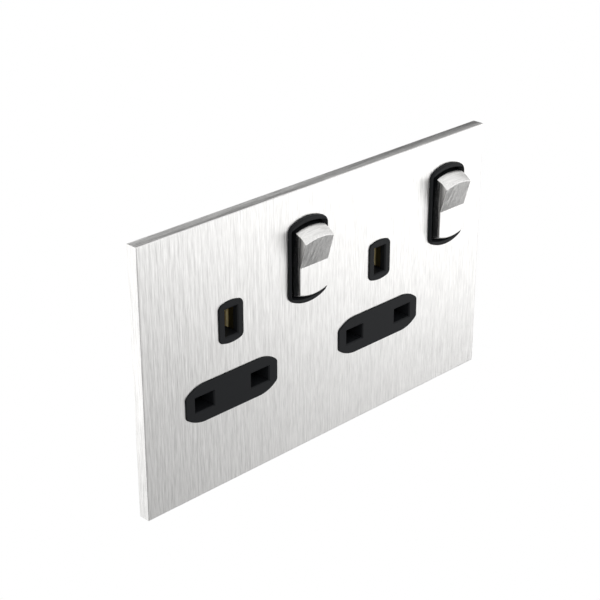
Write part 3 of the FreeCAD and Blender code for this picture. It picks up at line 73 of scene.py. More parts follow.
class Value:
    """One shader socket. Arithmetic on it adds Math nodes to the same tree."""

    def __init__(self, tree, socket):
        self.tree = tree
        self.socket = socket

    def math(self, operation, first, second=0.0):
        return self.tree.node("ShaderNodeMath", {"operation": operation}, {0: first, 1: second})

    def __add__(self, other):
        return self.math("ADD", self, other)

    def __sub__(self, other):
        return self.math("SUBTRACT", self, other)

    def __rsub__(self, other):
        return self.math("SUBTRACT", other, self)

    def __mul__(self, other):
        return self.math("MULTIPLY", self, other)

    def __gt__(self, other):
        return self.math("GREATER_THAN", self, other)

    def __abs__(self):
        return self.math("ABSOLUTE", self)

    __radd__ = __add__
    __rmul__ = __mul__

    def clamped(self, low, high):
        return self.math("MINIMUM", self.math("MAXIMUM", self, low), high)


class Tree:
    """The node tree of one finish, or of the world."""

    def __init__(self, owner):
        owner.use_nodes = True
        self.owner = owner
        self.nodes = owner.node_tree.nodes
        self.links = owner.node_tree.links
        self.nodes.clear()

    def node(self, kind, settings, sockets, output=0):
        """Adds a node: its settings first, then the values or links of its sockets."""
        made = self.nodes.new(kind)
        for name, setting in settings.items():
            setattr(made, name, setting)
        for key, value in sockets.items():
            if isinstance(value, Value):
                self.links.new(value.socket, made.inputs[key])
            else:
                made.inputs[key].default_value = value
        return Value(self, made.outputs[output]) if made.outputs else None

    def place(self):
        """Position on the piece, in metres from the middle of the plate."""
        return self.node("ShaderNodeTexCoord", {}, {}, "Object")

    def part_of(self, vector, axis):
        return self.node("ShaderNodeSeparateXYZ", {}, {"Vector": vector}, axis)

    def stretched(self, vector, scale):
        return self.node("ShaderNodeVectorMath", {"operation": "MULTIPLY"}, {0: vector, 1: scale})

    def noise(self, vector, scale, detail, roughness):
        sockets = {"Vector": vector, "Scale": scale, "Detail": detail, "Roughness": roughness}
        return self.node("ShaderNodeTexNoise", {}, sockets, "Fac")

    def mixed(self, amount, first, second):
        """A colour between two colours."""
        sockets = {"Factor": amount, 6: first, 7: second}
        return self.node("ShaderNodeMix", {"data_type": "RGBA"}, sockets, 2)

    def either(self, amount, first, second):
        """A vector between two vectors."""
        sockets = {"Factor": amount, 4: first, 5: second}
        return self.node("ShaderNodeMix", {"data_type": "VECTOR"}, sockets, 1)

    def bumped(self, height, depth, strength):
        sockets = {"Height": height, "Distance": depth, "Strength": strength}
        return self.node("ShaderNodeBump", {}, sockets, "Normal")

    def surface(self, sockets):
        self.output("ShaderNodeOutputMaterial", self.node("ShaderNodeBsdfPrincipled", {}, sockets))

    def glow(self, colour):
        return self.node("ShaderNodeEmission", {}, {"Color": colour, "Strength": 1.0})

    def output(self, kind, shader):
        self.node(kind, {}, {"Surface": shader})


def rgba(colour, share=1.0):
    return (colour[0] * share, colour[1] * share, colour[2] * share, 1.0)


def new_finish(name):
    return Tree(bpy.data.materials.new(name))


def pieces_of(slot):
    """Names of the pieces of one material slot."""
    wanted = [node for node, its_slot in SLOT_OF.items() if its_slot == slot]
    if not wanted:
        raise RuntimeError(f"no piece has the material slot {slot}")
    return wanted


def dress(nodes, finish):
    """Gives a finish to the named pieces."""
    for node in nodes:
        NODES[node].data.materials.clear()
        NODES[node].data.materials.append(finish)


def finish_of(node):
    return NODES[node].data.materials[0]


def sizes():
    return bpy.context.scene.socket_sizes


def colours():
    return bpy.context.scene.socket_colours


def brushed_finish(name, colour, painted_side_shade=False):
    """Steel brushed upright on upright faces and lengthwise on the top and bottom edges; with side shade, the
    sides of the caps get a band of painted shade near their base.
    """
    square_on = 0.8
    contrast = 3.0
    dark_streak = 0.74
    side_shade_strength = 0.78
    size = sizes()
    tree = new_finish(name)
    spot = tree.place()
    facing = tree.node("ShaderNodeTexCoord", {}, {}, "Normal")
    on_edge = abs(tree.part_of(facing, "Z")) > square_on
    on_side = abs(tree.part_of(facing, "X")) > square_on
    width = 1.0 / size.streak_width
    length = 1.0 / size.streak_length
    upright = tree.stretched(spot, (width, width, length))
    lengthwise = tree.stretched(spot, (length, width, width))
    grain = tree.either(on_edge, upright, lengthwise)
    hair = tree.noise(grain, scale=1.0, detail=2.0, roughness=0.6)
    band = tree.noise(grain, scale=0.42, detail=2.0, roughness=0.5)
    scratch = tree.noise(grain, scale=3.1, detail=1.0, roughness=0.5)
    brush = hair * 0.6 + band * 0.25 + scratch * 0.15
    tone = ((brush - 0.5) * contrast + 0.5).clamped(0.0, 1.0)
    steel = tree.mixed(tone, rgba(colour, dark_streak), rgba(colour))
    # Painted shade: a dark band on the side faces, round a set depth, stands for the shadow and the dark
    # reflection of the surround near the base of the caps.
    if painted_side_shade:
        away = abs(size.side_shade_middle - tree.part_of(spot, "Y"))
        painted_shade = (1.0 - away * (1.0 / size.side_shade_reach)).clamped(0.0, 1.0)
        steel = tree.mixed(on_side * painted_shade * side_shade_strength, steel, BLACK)
    relief = hair * 0.3 + band * 1.5
    tree.surface(
        {
            "Base Color": steel,
            "Metallic": 1.0,
            "Roughness": 0.25 + brush * 0.14 - on_side * 0.13,
            "Anisotropic": 0.5,
            "Normal": tree.bumped(relief, depth=0.1 * MM, strength=0.8),
        }
    )
    return tree.owner


def moulded_finish(name, colour, grain_size, roughness):
    """Satin moulding with a fine sparked grain and faint flow marks."""
    darker = 0.8
    lighter = 1.2
    tree = new_finish(name)
    spot = tree.place()
    grain = tree.noise(spot, scale=1.0 / grain_size, detail=3.0, roughness=0.6)
    flow = tree.noise(spot, scale=90.0, detail=2.0, roughness=0.5)
    tone = grain * 0.5 + flow * 0.5
    tree.surface(
        {
            "Base Color": tree.mixed(tone, rgba(colour, darker), rgba(colour, lighter)),
            "Roughness": roughness + (grain - 0.5) * 0.12 + (flow - 0.5) * 0.1,
            "Specular IOR Level": 0.12,
            "Normal": tree.bumped(grain, depth=0.02 * MM, strength=0.25),
        }
    )
    return tree.owner


def mouth_shade_and_rub_highlight(depth):
    """Painted shade over the mouths of the contacts, and behind it a bright band where the pins rub, which is also
    a painted highlight.
    """
    size = sizes()
    spread = 1.4
    per_width = 1.0 / size.rub_highlight_width
    ahead = size.rub_highlight_depth - depth
    painted_shade = (ahead * per_width - 1.0).clamped(0.0, 1.0)
    rubbed_and_highlight = (spread - abs(ahead) * per_width).clamped(0.0, 1.0)
    return painted_shade, rubbed_and_highlight


def metal_finish(name, colour, stain, roughness, mark_scale, tarnish=0.0, rub_highlight=None):
    """Pressed or plated metal with cloudy tone, fine drawing marks and some dull film; with a rub colour it also
    gets painted shade at the mouths and a bright band that is pin wear and a painted highlight.
    """
    stain_share = 0.55
    mouth_shade_tone = 0.12
    tree = new_finish(name)
    spot = tree.place()
    cloud = tree.noise(spot, scale=220.0, detail=3.0, roughness=0.55)
    marks = tree.noise(tree.stretched(spot, mark_scale), scale=1.0, detail=2.0, roughness=0.5)
    dulling = (cloud * 1.6 - 0.4).clamped(0.0, 1.0)
    base = tree.mixed(dulling * stain_share, rgba(colour), rgba(stain))
    film_share = 0.6 + dulling * 0.4
    # Painted shade darkens the front of the strip at the slot mouths; the bright band behind it is pin wear and a
    # painted highlight.
    if rub_highlight:
        painted_shade, rubbed_and_highlight = mouth_shade_and_rub_highlight(tree.part_of(spot, "Y"))
        base = tree.mixed(painted_shade, tree.mixed(rubbed_and_highlight, base, rgba(rub_highlight)), rgba(stain, mouth_shade_tone))
        film_share = film_share + rubbed_and_highlight * 0.7
    tree.surface(
        {
            "Base Color": base,
            "Metallic": 1.0 - tarnish * film_share,
            "Roughness": roughness + dulling * 0.14 + (marks - 0.5) * 0.1,
            "Normal": tree.bumped(marks, depth=0.012 * MM, strength=0.2),
        }
    )
    return tree.owner


class SocketColours(bpy.types.PropertyGroup):
    """Colours of the socket's finishes."""

    plate: FloatVectorProperty(
        name="Plate", description="Brushed steel of the plate and the caps", subtype="COLOR",
        default=(0.965, 0.958, 0.945), min=0.0, max=1.0,
    )
    moulding: FloatVectorProperty(
        name="Moulding", description="Black mouldings at the front", subtype="COLOR",
        default=(0.0125, 0.0135, 0.0152), min=0.0, max=1.0,
    )
    cover: FloatVectorProperty(
        name="Rear cover", description="Moulding inside the wall box", subtype="COLOR",
        default=(0.020, 0.0205, 0.0215), min=0.0, max=1.0,
    )
    nylon: FloatVectorProperty(
        name="Nylon", description="Plungers of the switches", subtype="COLOR",
        default=(0.75, 0.74, 0.70), min=0.0, max=1.0,
    )
    zinc: FloatVectorProperty(
        name="Zinc", description="Plated frame and screws", subtype="COLOR",
        default=(0.66, 0.67, 0.69), min=0.0, max=1.0,
    )
    zinc_dull: FloatVectorProperty(
        name="Dull zinc", description="Clouded plating", subtype="COLOR",
        default=(0.48, 0.50, 0.54), min=0.0, max=1.0,
    )
    brass: FloatVectorProperty(
        name="Brass", description="Contacts and terminals", subtype="COLOR",
        default=(0.76, 0.60, 0.25), min=0.0, max=1.0,
    )
    brass_dull: FloatVectorProperty(
        name="Dull brass", description="Stained strip", subtype="COLOR",
        default=(0.47, 0.37, 0.15), min=0.0, max=1.0,
    )
    # A bright band of this colour is both wear where the pins rub and a painted highlight.
    brass_rub_highlight: FloatVectorProperty(
        name="Rubbed and highlit brass", description="Brass that the pins rub", subtype="COLOR",
        default=(0.97, 0.86, 0.52), min=0.0, max=1.0,
    )
    silver: FloatVectorProperty(
        name="Silver", description="Contact tips", subtype="COLOR",
        default=(0.86, 0.85, 0.83), min=0.0, max=1.0,
    )
    wire: FloatVectorProperty(
        name="Spring wire", description="Drawn spring steel", subtype="COLOR",
        default=(0.52, 0.52, 0.54), min=0.0, max=1.0,
    )


class SocketSizes(bpy.types.PropertyGroup):
    """Sizes of what is added to the solid parts."""

    streak_width: FloatProperty(
        name="Streak width", description="Brush marks across", subtype="DISTANCE", unit="LENGTH",
        default=0.45 * MM, min=0.01 * MM,
    )
    streak_length: FloatProperty(
        name="Streak length", description="Brush marks along", subtype="DISTANCE", unit="LENGTH",
        default=6.0 * MM, min=0.1 * MM,
    )
    # Middle and half width of a band of painted shade on the sides of the caps, standing for shadow and dark
    # reflection near their base.
    side_shade_middle: FloatProperty(
        name="Side shade middle", description="Middle of the painted shade band on the sides of the caps",
        subtype="DISTANCE", unit="LENGTH", default=-7.1 * MM,
    )
    side_shade_reach: FloatProperty(
        name="Side shade reach", description="Half width of the painted shade band on the sides of the caps",
        subtype="DISTANCE", unit="LENGTH", default=1.8 * MM, min=0.1 * MM,
    )
    bevel_sides: FloatProperty(
        name="Bevel at the sides", description="Bevel left and right in the mouths of the switches",
        subtype="DISTANCE", unit="LENGTH", default=1.15 * MM, min=0.05 * MM, max=1.2 * MM,
    )
    bevel_ends: FloatProperty(
        name="Bevel at the ends", description="Bevel above and below in the mouths of the switches",
        subtype="DISTANCE", unit="LENGTH", default=0.4 * MM, min=0.05 * MM, max=1.2 * MM,
    )
    bevel_depth: FloatProperty(
        name="Bevel depth", description="Bevel in the mouths of the switches, inwards",
        subtype="DISTANCE", unit="LENGTH", default=1.3 * MM, min=0.05 * MM, max=1.35 * MM,
    )
    # Where the pins rub, the brass gets a bright band that is also a painted highlight, with painted shade in
    # front of it at the slot mouth.
    rub_highlight_depth: FloatProperty(
        name="Rub depth", description="Middle of the rubbed and highlit band, behind the wall", subtype="DISTANCE",
        unit="LENGTH", default=0.32 * MM, min=0.0,
    )
    rub_highlight_width: FloatProperty(
        name="Rub width", description="Half width of the rubbed and highlit band", subtype="DISTANCE",
        unit="LENGTH", default=0.42 * MM, min=0.05 * MM,
    )
    thread_pitch: FloatProperty(
        name="Thread pitch", description="Turn to turn on the fixing screws", subtype="DISTANCE",
        unit="LENGTH", default=0.6 * MM, min=0.2 * MM,
    )
    thread_depth: FloatProperty(
        name="Thread depth", description="Crest to root on the fixing screws", subtype="DISTANCE",
        unit="LENGTH", default=0.34 * MM, min=0.05 * MM,
    )
    spring_wire: FloatProperty(
        name="Spring wire", description="Diameter of the spring wire", subtype="DISTANCE",
        unit="LENGTH", default=0.4 * MM, min=0.1 * MM,
    )
    shutter_turns: IntProperty(
        name="Shutter spring turns", description="Free turns of a shutter spring", default=6, min=2,
    )
    plunger_turns: IntProperty(
        name="Plunger spring turns", description="Free turns of a plunger spring", default=5, min=2,
    )


class SocketStage(bpy.types.PropertyGroup):
    """Studio round the socket."""

    floor_drop: FloatProperty(
        name="Floor drop", description="Floor below the middle of the plate", subtype="DISTANCE",
        unit="LENGTH", default=0.8, min=0.05,
    )
    fill: FloatProperty(
        name="Fill", description="Light from all round on matt surfaces", default=0.6, min=0.0, max=1.0,
    )
    key_power: FloatProperty(
        name="Key", description="Large soft lamp above on the left", subtype="POWER", unit="POWER",
        default=5.0, min=0.0,
    )
    side_power: FloatProperty(
        name="Side", description="Large soft lamp on the right", subtype="POWER", unit="POWER",
        default=3.0, min=0.0,
    )
    back_power: FloatProperty(
        name="Back", description="Large soft lamp behind", subtype="POWER", unit="POWER",
        default=4.0, min=0.0,
    )
    lens: FloatProperty(name="Lens", description="Focal length in millimetres", default=97.45, min=1.0)


class SOCKET_OT_plate(bpy.types.Operator):
    """Brushed steel on the plate and the rocker caps"""

    bl_idname = "socket.plate"
    bl_label = "Plate and caps"

    def execute(self, context):
        steel = colours().plate
        caps = ("rocker_cap_1", "rocker_cap_2")
        dress(pieces_of("brushed_plate"), brushed_finish("brushed_steel", steel))
        # The sides of the caps get a band of painted shade.
        dress(caps, brushed_finish("cap_steel_painted_shade", steel, painted_side_shade=True))
        return {"FINISHED"}


class SOCKET_OT_mouldings(bpy.types.Operator):
    """Satin moulding on the inserts, dollies, shutters, clip frame and rear cover"""

    bl_idname = "socket.mouldings"
    bl_label = "Black mouldings"

    def execute(self, context):
        shade = colours()
        front = moulded_finish("black_moulding", shade.moulding, grain_size=0.25 * MM, roughness=0.42)
        cover = moulded_finish("cover_moulding", shade.cover, grain_size=0.4 * MM, roughness=0.5)
        dress(pieces_of("black_moulding"), front)
        dress(pieces_of("cover_moulding"), cover)
        return {"FINISHED"}


def new_piece(name, mesh, finish):
    """Turns a mesh in the making into an object with a finish."""
    data = bpy.data.meshes.new(name)
    mesh.to_mesh(data)
    mesh.free()
    data.materials.append(finish)
    piece = bpy.data.objects.new(name, data)
    bpy.context.scene.collection.objects.link(piece)
    return piece


def copied_solid(node):
    """The mesh of a solid part, joined up for cutting."""
    mesh = bmesh.new()
    mesh.from_mesh(NODES[node].data)
    bmesh.ops.remove_doubles(mesh, verts=mesh.verts, dist=SAME_POINT)
    return mesh


def bevel_mouths(mesh, sides, ends, depth):
    """Cuts a bevel round each opening in the foremost faces of a mesh."""
    face_y = min(vertex.co.y for vertex in mesh.verts)
    face_reach = 0.01 * MM
    wall_tilt = 0.1

    def in_front(vertex):
        return vertex.co.y < face_y + face_reach

    def is_wall(face):
        return abs(face.normal.y) < wall_tilt

    walls = [face for face in mesh.faces if is_wall(face) and any(map(in_front, face.verts))]
    edges = dict.fromkeys(edge for face in walls for edge in face.edges)
    corners = dict.fromkeys(vertex for face in walls for vertex in face.verts)
    bmesh.ops.bisect_plane(
        mesh,
        geom=[*corners, *edges, *walls],
        plane_co=(0.0, face_y + depth, 0.0),
        plane_no=INTO_WALL,
    )
    inward = {}
    for edge in mesh.edges:
        if all(map(in_front, edge.verts)):
            for face in filter(is_wall, edge.link_faces):
                for vertex in edge.verts:
                    inward.setdefault(vertex, []).append(face.normal.copy())
    for vertex, (one, other) in inward.items():
        mitre = (one + other) / (1.0 + one.dot(other))
        vertex.co -= Vector((mitre.x * sides, 0.0, mitre.z * ends))


class SOCKET_OT_surrounds(bpy.types.Operator):
    """Front housing with a bevel round the mouth of each switch"""

    bl_idname = "socket.surrounds"
    bl_label = "Switch surrounds"

    def execute(self, context):
        size = sizes()
        sharp_angle = math.radians(30.0)
        mesh = copied_solid("front_housing")
        bevel_mouths(mesh, size.bevel_sides, size.bevel_ends, size.bevel_depth)
        housing = new_piece("bevelled_housing", mesh, finish_of("front_housing"))
        old_normals = housing.data.attributes.get("custom_normal")
        if old_normals:
            housing.data.attributes.remove(old_normals)
        housing.data.shade_smooth()
        housing.data.set_sharp_from_angle(angle=sharp_angle)
        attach(housing, "socket")
        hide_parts("front_housing")
        return {"FINISHED"}


class SOCKET_OT_plungers(bpy.types.Operator):
    """Natural nylon on the plungers"""

    bl_idname = "socket.plungers"
    bl_label = "Plungers"

    def execute(self, context):
        nylon = moulded_finish("natural_nylon", colours().nylon, grain_size=0.3 * MM, roughness=0.4)
        dress(pieces_of("nylon"), nylon)
        return {"FINISHED"}


class SOCKET_OT_contacts(bpy.types.Operator):
    """Brass strip and terminals, and silver contact tips"""

    bl_idname = "socket.contacts"
    bl_label = "Contacts"

    def execute(self, context):
        shade = colours()
        # Brass with painted shade at the slot mouths and a bright band that is pin wear and a painted highlight.
        brass = metal_finish(
            "pressed_brass_shade_and_highlight",
            shade.brass,
            shade.brass_dull,
            roughness=0.3,
            mark_scale=(900.0, 4000.0, 900.0),
            tarnish=0.6,
            rub_highlight=shade.brass_rub_highlight,
        )
        silver = metal_finish(
            "contact_silver",
            shade.silver,
            shade.zinc,
            roughness=0.22,
            mark_scale=(3000.0, 3000.0, 3000.0),
        )
        dress(pieces_of("brass"), brass)
        dress(pieces_of("contact_silver"), silver)
        return {"FINISHED"}


class SOCKET_OT_frame(bpy.types.Operator):
    """Zinc plate on the mounting frame and the screws"""

    bl_idname = "socket.frame"
    bl_label = "Frame and screws"

    def execute(self, context):
        shade = colours()
        zinc = metal_finish(
            "zinc_plate",
            shade.zinc,
            shade.zinc_dull,
            roughness=0.28,
            mark_scale=(400.0, 400.0, 3000.0),
        )
        dress(pieces_of("zinc_steel"), zinc)
        return {"FINISHED"}


def skin(mesh, rings):
    """Closes a row of rings of points to a tube with flat ends."""
    around = len(rings[0])
    for ring, following in zip(rings, rings[1:]):
        for corner in range(around):
            after = (corner + 1) % around
            mesh.faces.new((ring[corner], ring[after], following[after], following[corner]))
    mesh.faces.new(rings[0])
    mesh.faces.new(list(reversed(rings[-1])))


def threaded_rod(mesh, x, z, start, end, radius):
    """Adds a closed threaded rod with a tapered point along Y to a mesh."""
    size = sizes()
    around = 28
    levels_per_turn = 8
    point_length = size.thread_pitch * 2
    point_share = 0.45
    point_start = 0.35
    count = int((end - start) / (size.thread_pitch / levels_per_turn))
    rings = []
    for level in range(count + 1):
        y = start + (end - start) * level / count
        taper = min(1.0, (end - y) / point_length + point_start)
        runout = min(1.0, (y - start) / size.thread_pitch)
        ring = []
        for corner in range(around):
            turn = corner / around
            phase = (y / size.thread_pitch - turn) % 1.0
            groove = size.thread_depth * abs(2.0 * phase - 1.0) * runout
            reach = min(radius - groove, radius * (point_share + (1.0 - point_share) * taper))
            angle = 2.0 * math.pi * turn
            ring.append(mesh.verts.new((x + reach * math.cos(angle), y, z + reach * math.sin(angle))))
        rings.append(ring)
    skin(mesh, rings)


class SOCKET_OT_fixing_screws(bpy.types.Operator):
    """Fixing screws with a cut thread, on the heads of the solid screws"""

    bl_idname = "socket.fixing_screws"
    bl_label = "Fixing screws"

    def execute(self, context):
        neck_end = 0.35 * MM
        shank_radius = 1.75 * MM
        head_radius = 3.2 * MM
        low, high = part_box("fixing_screws")
        mesh = copied_solid("fixing_screws")
        cut = bmesh.ops.bisect_plane(
            mesh,
            geom=[*mesh.verts, *mesh.edges, *mesh.faces],
            plane_co=(0.0, neck_end, 0.0),
            plane_no=INTO_WALL,
            clear_outer=True,
        )
        rim = [piece for piece in cut["geom_cut"] if isinstance(piece, bmesh.types.BMEdge)]
        bmesh.ops.edgeloop_fill(mesh, edges=rim)
        half = (high.x - low.x) / 2 - head_radius
        for x in (-half, half):
            threaded_rod(mesh, x, 0.0, neck_end, high.y, shank_radius)
        bmesh.ops.recalc_face_normals(mesh, faces=mesh.faces)
        screws = new_piece("fixing_screws_cut", mesh, finish_of("fixing_screws"))
        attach(screws, "socket")
        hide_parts("fixing_screws")
        return {"FINISHED"}


def wound_spring(name, foot, along, length, radius, turns, finish):
    """A round-wire compression spring with one closed turn at each end."""
    wire = sizes().spring_wire
    around = 10
    per_turn = 28
    closed_rise = wire * 1.02
    along = along.normalized()
    side = along.orthogonal().normalized()
    across = along.cross(side)
    free = length - wire - 2 * closed_rise
    total = turns + 2

    def height(turn):
        if turn < 1:
            return closed_rise * turn
        if turn > total - 1:
            return closed_rise + free + closed_rise * (turn - total + 1)
        return closed_rise + free * (turn - 1) / turns

    mesh = bmesh.new()
    rings = []
    for step in range(total * per_turn + 1):
        turn = step / per_turn
        angle = 2.0 * math.pi * turn
        out = side * math.cos(angle) + across * math.sin(angle)
        middle = foot + along * (wire / 2 + height(turn)) + out * radius
        ring = []
        for corner in range(around):
            angle = 2.0 * math.pi * corner / around
            offset = (out * math.cos(angle) + along * math.sin(angle)) * wire / 2
            ring.append(mesh.verts.new(middle + offset))
        rings.append(ring)
    skin(mesh, rings)
    bmesh.ops.recalc_face_normals(mesh, faces=mesh.faces)
    for face in mesh.faces:
        face.smooth = True
    return new_piece(name, mesh, finish)


def kept_length(joint, length):
    """Share of a spring's length that is left at the end of a joint's slide."""
    low, high = joint["range_m"]
    return 1.0 - (high - low) / length


class SOCKET_OT_springs(bpy.types.Operator):
    """Round-wire springs in place of the plain solid ones"""

    bl_idname = "socket.springs"
    bl_label = "Springs"

    def execute(self, context):
        shade = colours()
        wire = metal_finish(
            "spring_wire",
            shade.wire,
            shade.zinc_dull,
            roughness=0.3,
            mark_scale=(2500.0, 2500.0, 2500.0),
        )
        dress(pieces_of("spring_steel"), wire)
        joints = {joint["name"]: joint for joint in frame["joints"]}
        for number in (1, 2):
            pivot = Vector(joints[f"rocker_{number}_tilt"]["pos_m"])
            self.shutter_spring(number, joints[f"shutter_{number}_slide"], wire)
            self.plunger_spring(number, joints[f"plunger_{number}_slide"], pivot, wire)
        return {"FINISHED"}

    def shutter_spring(self, number, joint, wire):
        node = f"shutter_spring_{number}"
        coil_radius = 1.9 * MM
        shutter_low, shutter_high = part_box(f"shutter_{number}")
        low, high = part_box(node)
        up = Vector((0.0, 0.0, 1.0))
        foot = Vector(((shutter_low.x + shutter_high.x) / 2, (low.y + high.y) / 2, low.z))
        length = high.z - low.z
        turns = sizes().shutter_turns
        spring = wound_spring(f"shutter_coil_{number}", foot, up, length, coil_radius, turns, wire)
        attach(spring, "socket")
        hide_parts(node)
        keep = kept_length(joint, length)
        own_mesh(spring)

    def plunger_spring(self, number, joint, pivot, wire):
        node = f"plunger_spring_{number}"
        coil_radius = 1.3 * MM
        axis = Vector(joint["axis"]).normalized()
        heights = [axis.dot(vertex.co) for vertex in NODES[node].data.vertices]
        length = max(heights) - min(heights)
        foot = pivot + axis * (min(heights) - axis.dot(pivot))
        turns = sizes().plunger_turns
        spring = wound_spring(f"plunger_coil_{number}", foot, axis, length, coil_radius, turns, wire)
        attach(spring, f"rocker_{number}")
        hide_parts(node)
        keep = kept_length(joint, length)
        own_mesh(spring)


def seen_directly(tree):
    """One on rays from the camera and from glossy or clear surfaces, else nought."""
    seen = tree.node("ShaderNodeLightPath", {}, {}, "Is Camera Ray")
    light_path = seen.socket.node
    for name in ("Is Glossy Ray", "Is Transmission Ray"):
        seen = seen.math("MAXIMUM", seen, Value(tree, light_path.outputs[name]))
    return seen


def stage_piece(name, mesh, finish):
    piece = new_piece(name, mesh, finish)
    return piece


def rectangle(mesh, low_x, low_z, high_x, high_z):
    """Corner points of an upright rectangle on the wall."""
    corners = ((low_x, low_z), (high_x, low_z), (high_x, high_z), (low_x, high_z))
    return [mesh.verts.new((x, 0.0, z)) for x, z in corners]


def card_paper(name, shade):
    """Glowing paper whose level is given by the place on it."""
    tree = new_finish(name)
    spot = tree.place()
    level = shade(*(tree.part_of(spot, axis) for axis in "XYZ"))
    tree.output("ShaderNodeOutputMaterial", tree.glow(level))
    return tree.owner


def curved_card(name, shade, radius, first, last, low, high):
    """A bent card that stands round the socket and shows only in its metal.

    Its first and last angles are in degrees, to the right from straight ahead of the plate.
    """
    steps = 40
    mesh = bmesh.new()
    columns = []
    for step in range(steps + 1):
        angle = math.radians(first + (last - first) * step / steps)
        x = radius * math.sin(angle)
        y = -radius * math.cos(angle)
        columns.append([mesh.verts.new((x, y, z)) for z in (low, high)])
    for one, following in zip(columns, columns[1:]):
        mesh.faces.new((one[0], following[0], following[1], one[1]))
    card = stage_piece(f"{name}_card", mesh, card_paper(f"{name}_paper", shade))
    card.visible_camera = False
    card.visible_diffuse = False
    card.visible_shadow = False
    card.visible_transmission = False


def low_shade(x, y, z):
    """Rises to the top right, with a dark lower right corner for the down-turned faces."""
    dark = 0.03
    start_level = 0.66
    start_x = 0.172
    start_z = -0.2
    rise_up = 0.7
    rise_beside = 5.2
    rise_across = 3.3
    edge_y = -0.17
    edge_z = -0.252
    edge_slope = 2.0
    edge_sharpness = 36.0
    above = z - start_z
    across = (x - start_x).clamped(-0.05, 1.0)
    beside = (x * 8.0 - 0.3).clamped(0.1, 1.0)
    upwards = above * rise_up + above.clamped(0.0, 1.0) * beside * rise_beside
    rising = start_level + upwards + across * rise_across
    over_edge = z - (y - edge_y) * edge_slope - edge_z
    lit = (over_edge * edge_sharpness + 0.5).clamped(0.0, 1.0)
    return dark + (rising.clamped(0.25, 1.5) - dark) * lit


def high_shade(x, y, z):
    """Falls slowly to the right, for the top edge of the plate."""
    return (0.2 - (x - 0.35) * 0.33).clamped(0.1, 0.4)


def left_shade(x, y, z):
    """Falls a little towards the floor, for the left edge of the plate."""
    return (1.2 + (z + 0.37) * 6.0).clamped(0.95, 1.2)


def soft_lamp(name, spot, width, height, power):
    """A large lamp aimed at the socket, seen only by its light."""
    lamp = bpy.data.lights.new(name, "AREA")
    lamp.shape = "RECTANGLE"
    lamp.size = width
    lamp.size_y = height
    lamp.energy = power
    holder = bpy.data.objects.new(name, lamp)
    holder.location = spot
    holder.rotation_euler = (-Vector(spot)).to_track_quat("-Z", "Y").to_euler()
    holder.visible_camera = False
    holder.visible_glossy = False
    bpy.context.scene.collection.objects.link(holder)


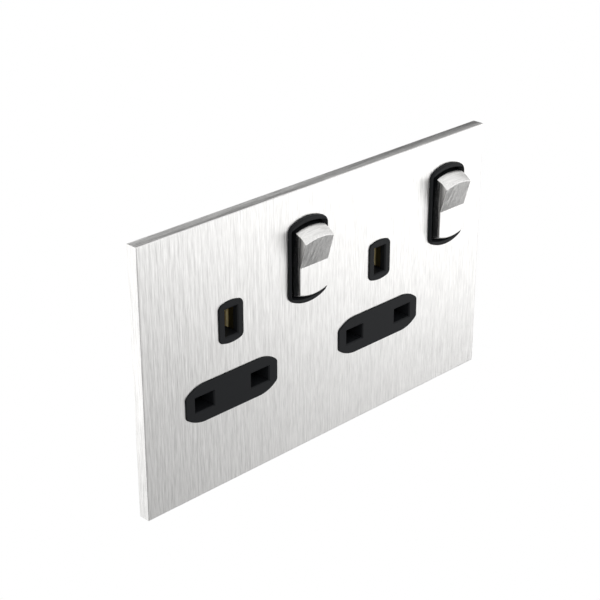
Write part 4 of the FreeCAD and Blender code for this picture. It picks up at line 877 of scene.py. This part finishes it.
class SOCKET_OT_stage(bpy.types.Operator):
    """Pale floor, white wall, soft lamps, graded cards and the camera"""

    bl_idname = "socket.stage"
    bl_label = "Studio"

    def execute(self, context):
        look = context.scene.socket_stage
        self.world(context.scene, look)
        self.floor(look)
        self.wall()
        self.cards()
        soft_lamp("key_lamp", (-0.9, -1.1, 1.2), width=1.6, height=1.2, power=look.key_power)
        soft_lamp("side_lamp", (1.5, -0.9, 0.5), width=1.2, height=1.2, power=look.side_power)
        soft_lamp("back_lamp", (0.2, 1.5, 1.0), width=1.6, height=1.2, power=look.back_power)
        self.camera(context.scene, look)
        context.scene.view_settings.view_transform = "Standard"
        return {"FINISHED"}

    def world(self, scene, look):
        """White where it is seen, and a softer fill on matt surfaces."""
        scene.world = bpy.data.worlds.new("studio")
        tree = Tree(scene.world)
        level = look.fill + (1.0 - look.fill) * seen_directly(tree)
        light = tree.node("ShaderNodeBackground", {}, {"Color": level, "Strength": 1.0})
        tree.output("ShaderNodeOutputWorld", light)

    def floor(self, look):
        half = 4.0
        paper_white = (0.9, 0.9, 0.9)
        glow_share = 0.9
        mesh = bmesh.new()
        corners = ((-half, -half), (half, -half), (half, half), (-half, half))
        mesh.faces.new([mesh.verts.new((x, y, -look.floor_drop)) for x, y in corners])
        tree = new_finish("pale_floor")
        paper = tree.node("ShaderNodeBsdfDiffuse", {}, {"Color": rgba(paper_white)})
        sockets = {0: seen_directly(tree) * glow_share, 1: paper, 2: tree.glow(WHITE)}
        tree.output("ShaderNodeOutputMaterial", tree.node("ShaderNodeMixShader", {}, sockets))
        stage_piece("floor", mesh, tree.owner)

    def wall(self):
        """White wall round the opening of its box, seen from the front only."""
        far = 4.0
        low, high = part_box("mounting_frame")
        mesh = bmesh.new()
        outer = rectangle(mesh, -far, -far, far, far)
        inner = rectangle(mesh, low.x, low.z, high.x, high.z)
        for number in range(4):
            after = (number + 1) % 4
            mesh.faces.new((outer[number], outer[after], inner[after], inner[number]))
        tree = new_finish("white_wall")
        behind = tree.node("ShaderNodeNewGeometry", {}, {}, "Backfacing")
        clear = tree.node("ShaderNodeBsdfTransparent", {}, {})
        sockets = {0: behind, 1: tree.glow(WHITE), 2: clear}
        tree.output("ShaderNodeOutputMaterial", tree.node("ShaderNodeMixShader", {}, sockets))
        wall = stage_piece("wall", mesh, tree.owner)
        wall.visible_diffuse = False
        wall.visible_glossy = False
        wall.visible_shadow = False
        wall.visible_transmission = False

    def cards(self):
        curved_card("low", low_shade, radius=0.35, first=-85.0, last=85.0, low=-0.78, high=0.02)
        curved_card("high", high_shade, radius=0.7, first=95.0, last=165.0, low=0.10, high=0.52)
        curved_card("left", left_shade, radius=0.7, first=-170.0, last=-100.0, low=-0.78, high=0.10)

    def camera(self, scene, look):
        """Camera above on the left, fitted to the corners of the plate."""
        spot = (-0.32391, -0.31818, 0.21283)
        level = Vector((0.7082, -0.7060, -0.0014))
        ahead = Vector((0.6401, 0.6430, -0.4205)).normalized()
        up = level.cross(ahead).normalized()
        right = ahead.cross(up).normalized()
        data = bpy.data.cameras.new("camera")
        data.lens = look.lens
        data.sensor_width = 36.0
        holder = bpy.data.objects.new("camera", data)
        turn = Matrix((right, up, -ahead)).transposed().to_4x4()
        holder.matrix_world = Matrix.Translation(spot) @ turn
        scene.collection.objects.link(holder)
        scene.camera = holder


STEPS = (
    SOCKET_OT_plate,
    SOCKET_OT_mouldings,
    SOCKET_OT_surrounds,
    SOCKET_OT_plungers,
    SOCKET_OT_contacts,
    SOCKET_OT_frame,
    SOCKET_OT_fixing_screws,
    SOCKET_OT_springs,
    SOCKET_OT_stage,
)
GROUPS = {"socket_sizes": SocketSizes, "socket_colours": SocketColours, "socket_stage": SocketStage}


class SOCKET_PT_panel(bpy.types.Panel):
    """Lists the sizes, the colours and the steps"""

    bl_idname = "SOCKET_PT_panel"
    bl_label = "Twin socket"
    bl_space_type = "VIEW_3D"
    bl_region_type = "UI"
    bl_category = "Socket"

    def draw(self, context):
        for group_name in GROUPS:
            group = getattr(context.scene, group_name)
            box = self.layout.box()
            for name in group.__annotations__:
                box.prop(group, name)
        for step in STEPS:
            self.layout.operator(step.bl_idname)


CLASSES = (*GROUPS.values(), *STEPS, SOCKET_PT_panel)


def register():
    for kind in CLASSES:
        bpy.utils.register_class(kind)
    for name, kind in GROUPS.items():
        setattr(bpy.types.Scene, name, PointerProperty(type=kind))


def unregister():
    for name in GROUPS:
        delattr(bpy.types.Scene, name)
    for kind in reversed(CLASSES):
        bpy.utils.unregister_class(kind)


def main():
    register()
    for step in STEPS:
        group, name = step.bl_idname.split(".")
        getattr(getattr(bpy.ops, group), name)()


if __name__ == "__main__":
    main()
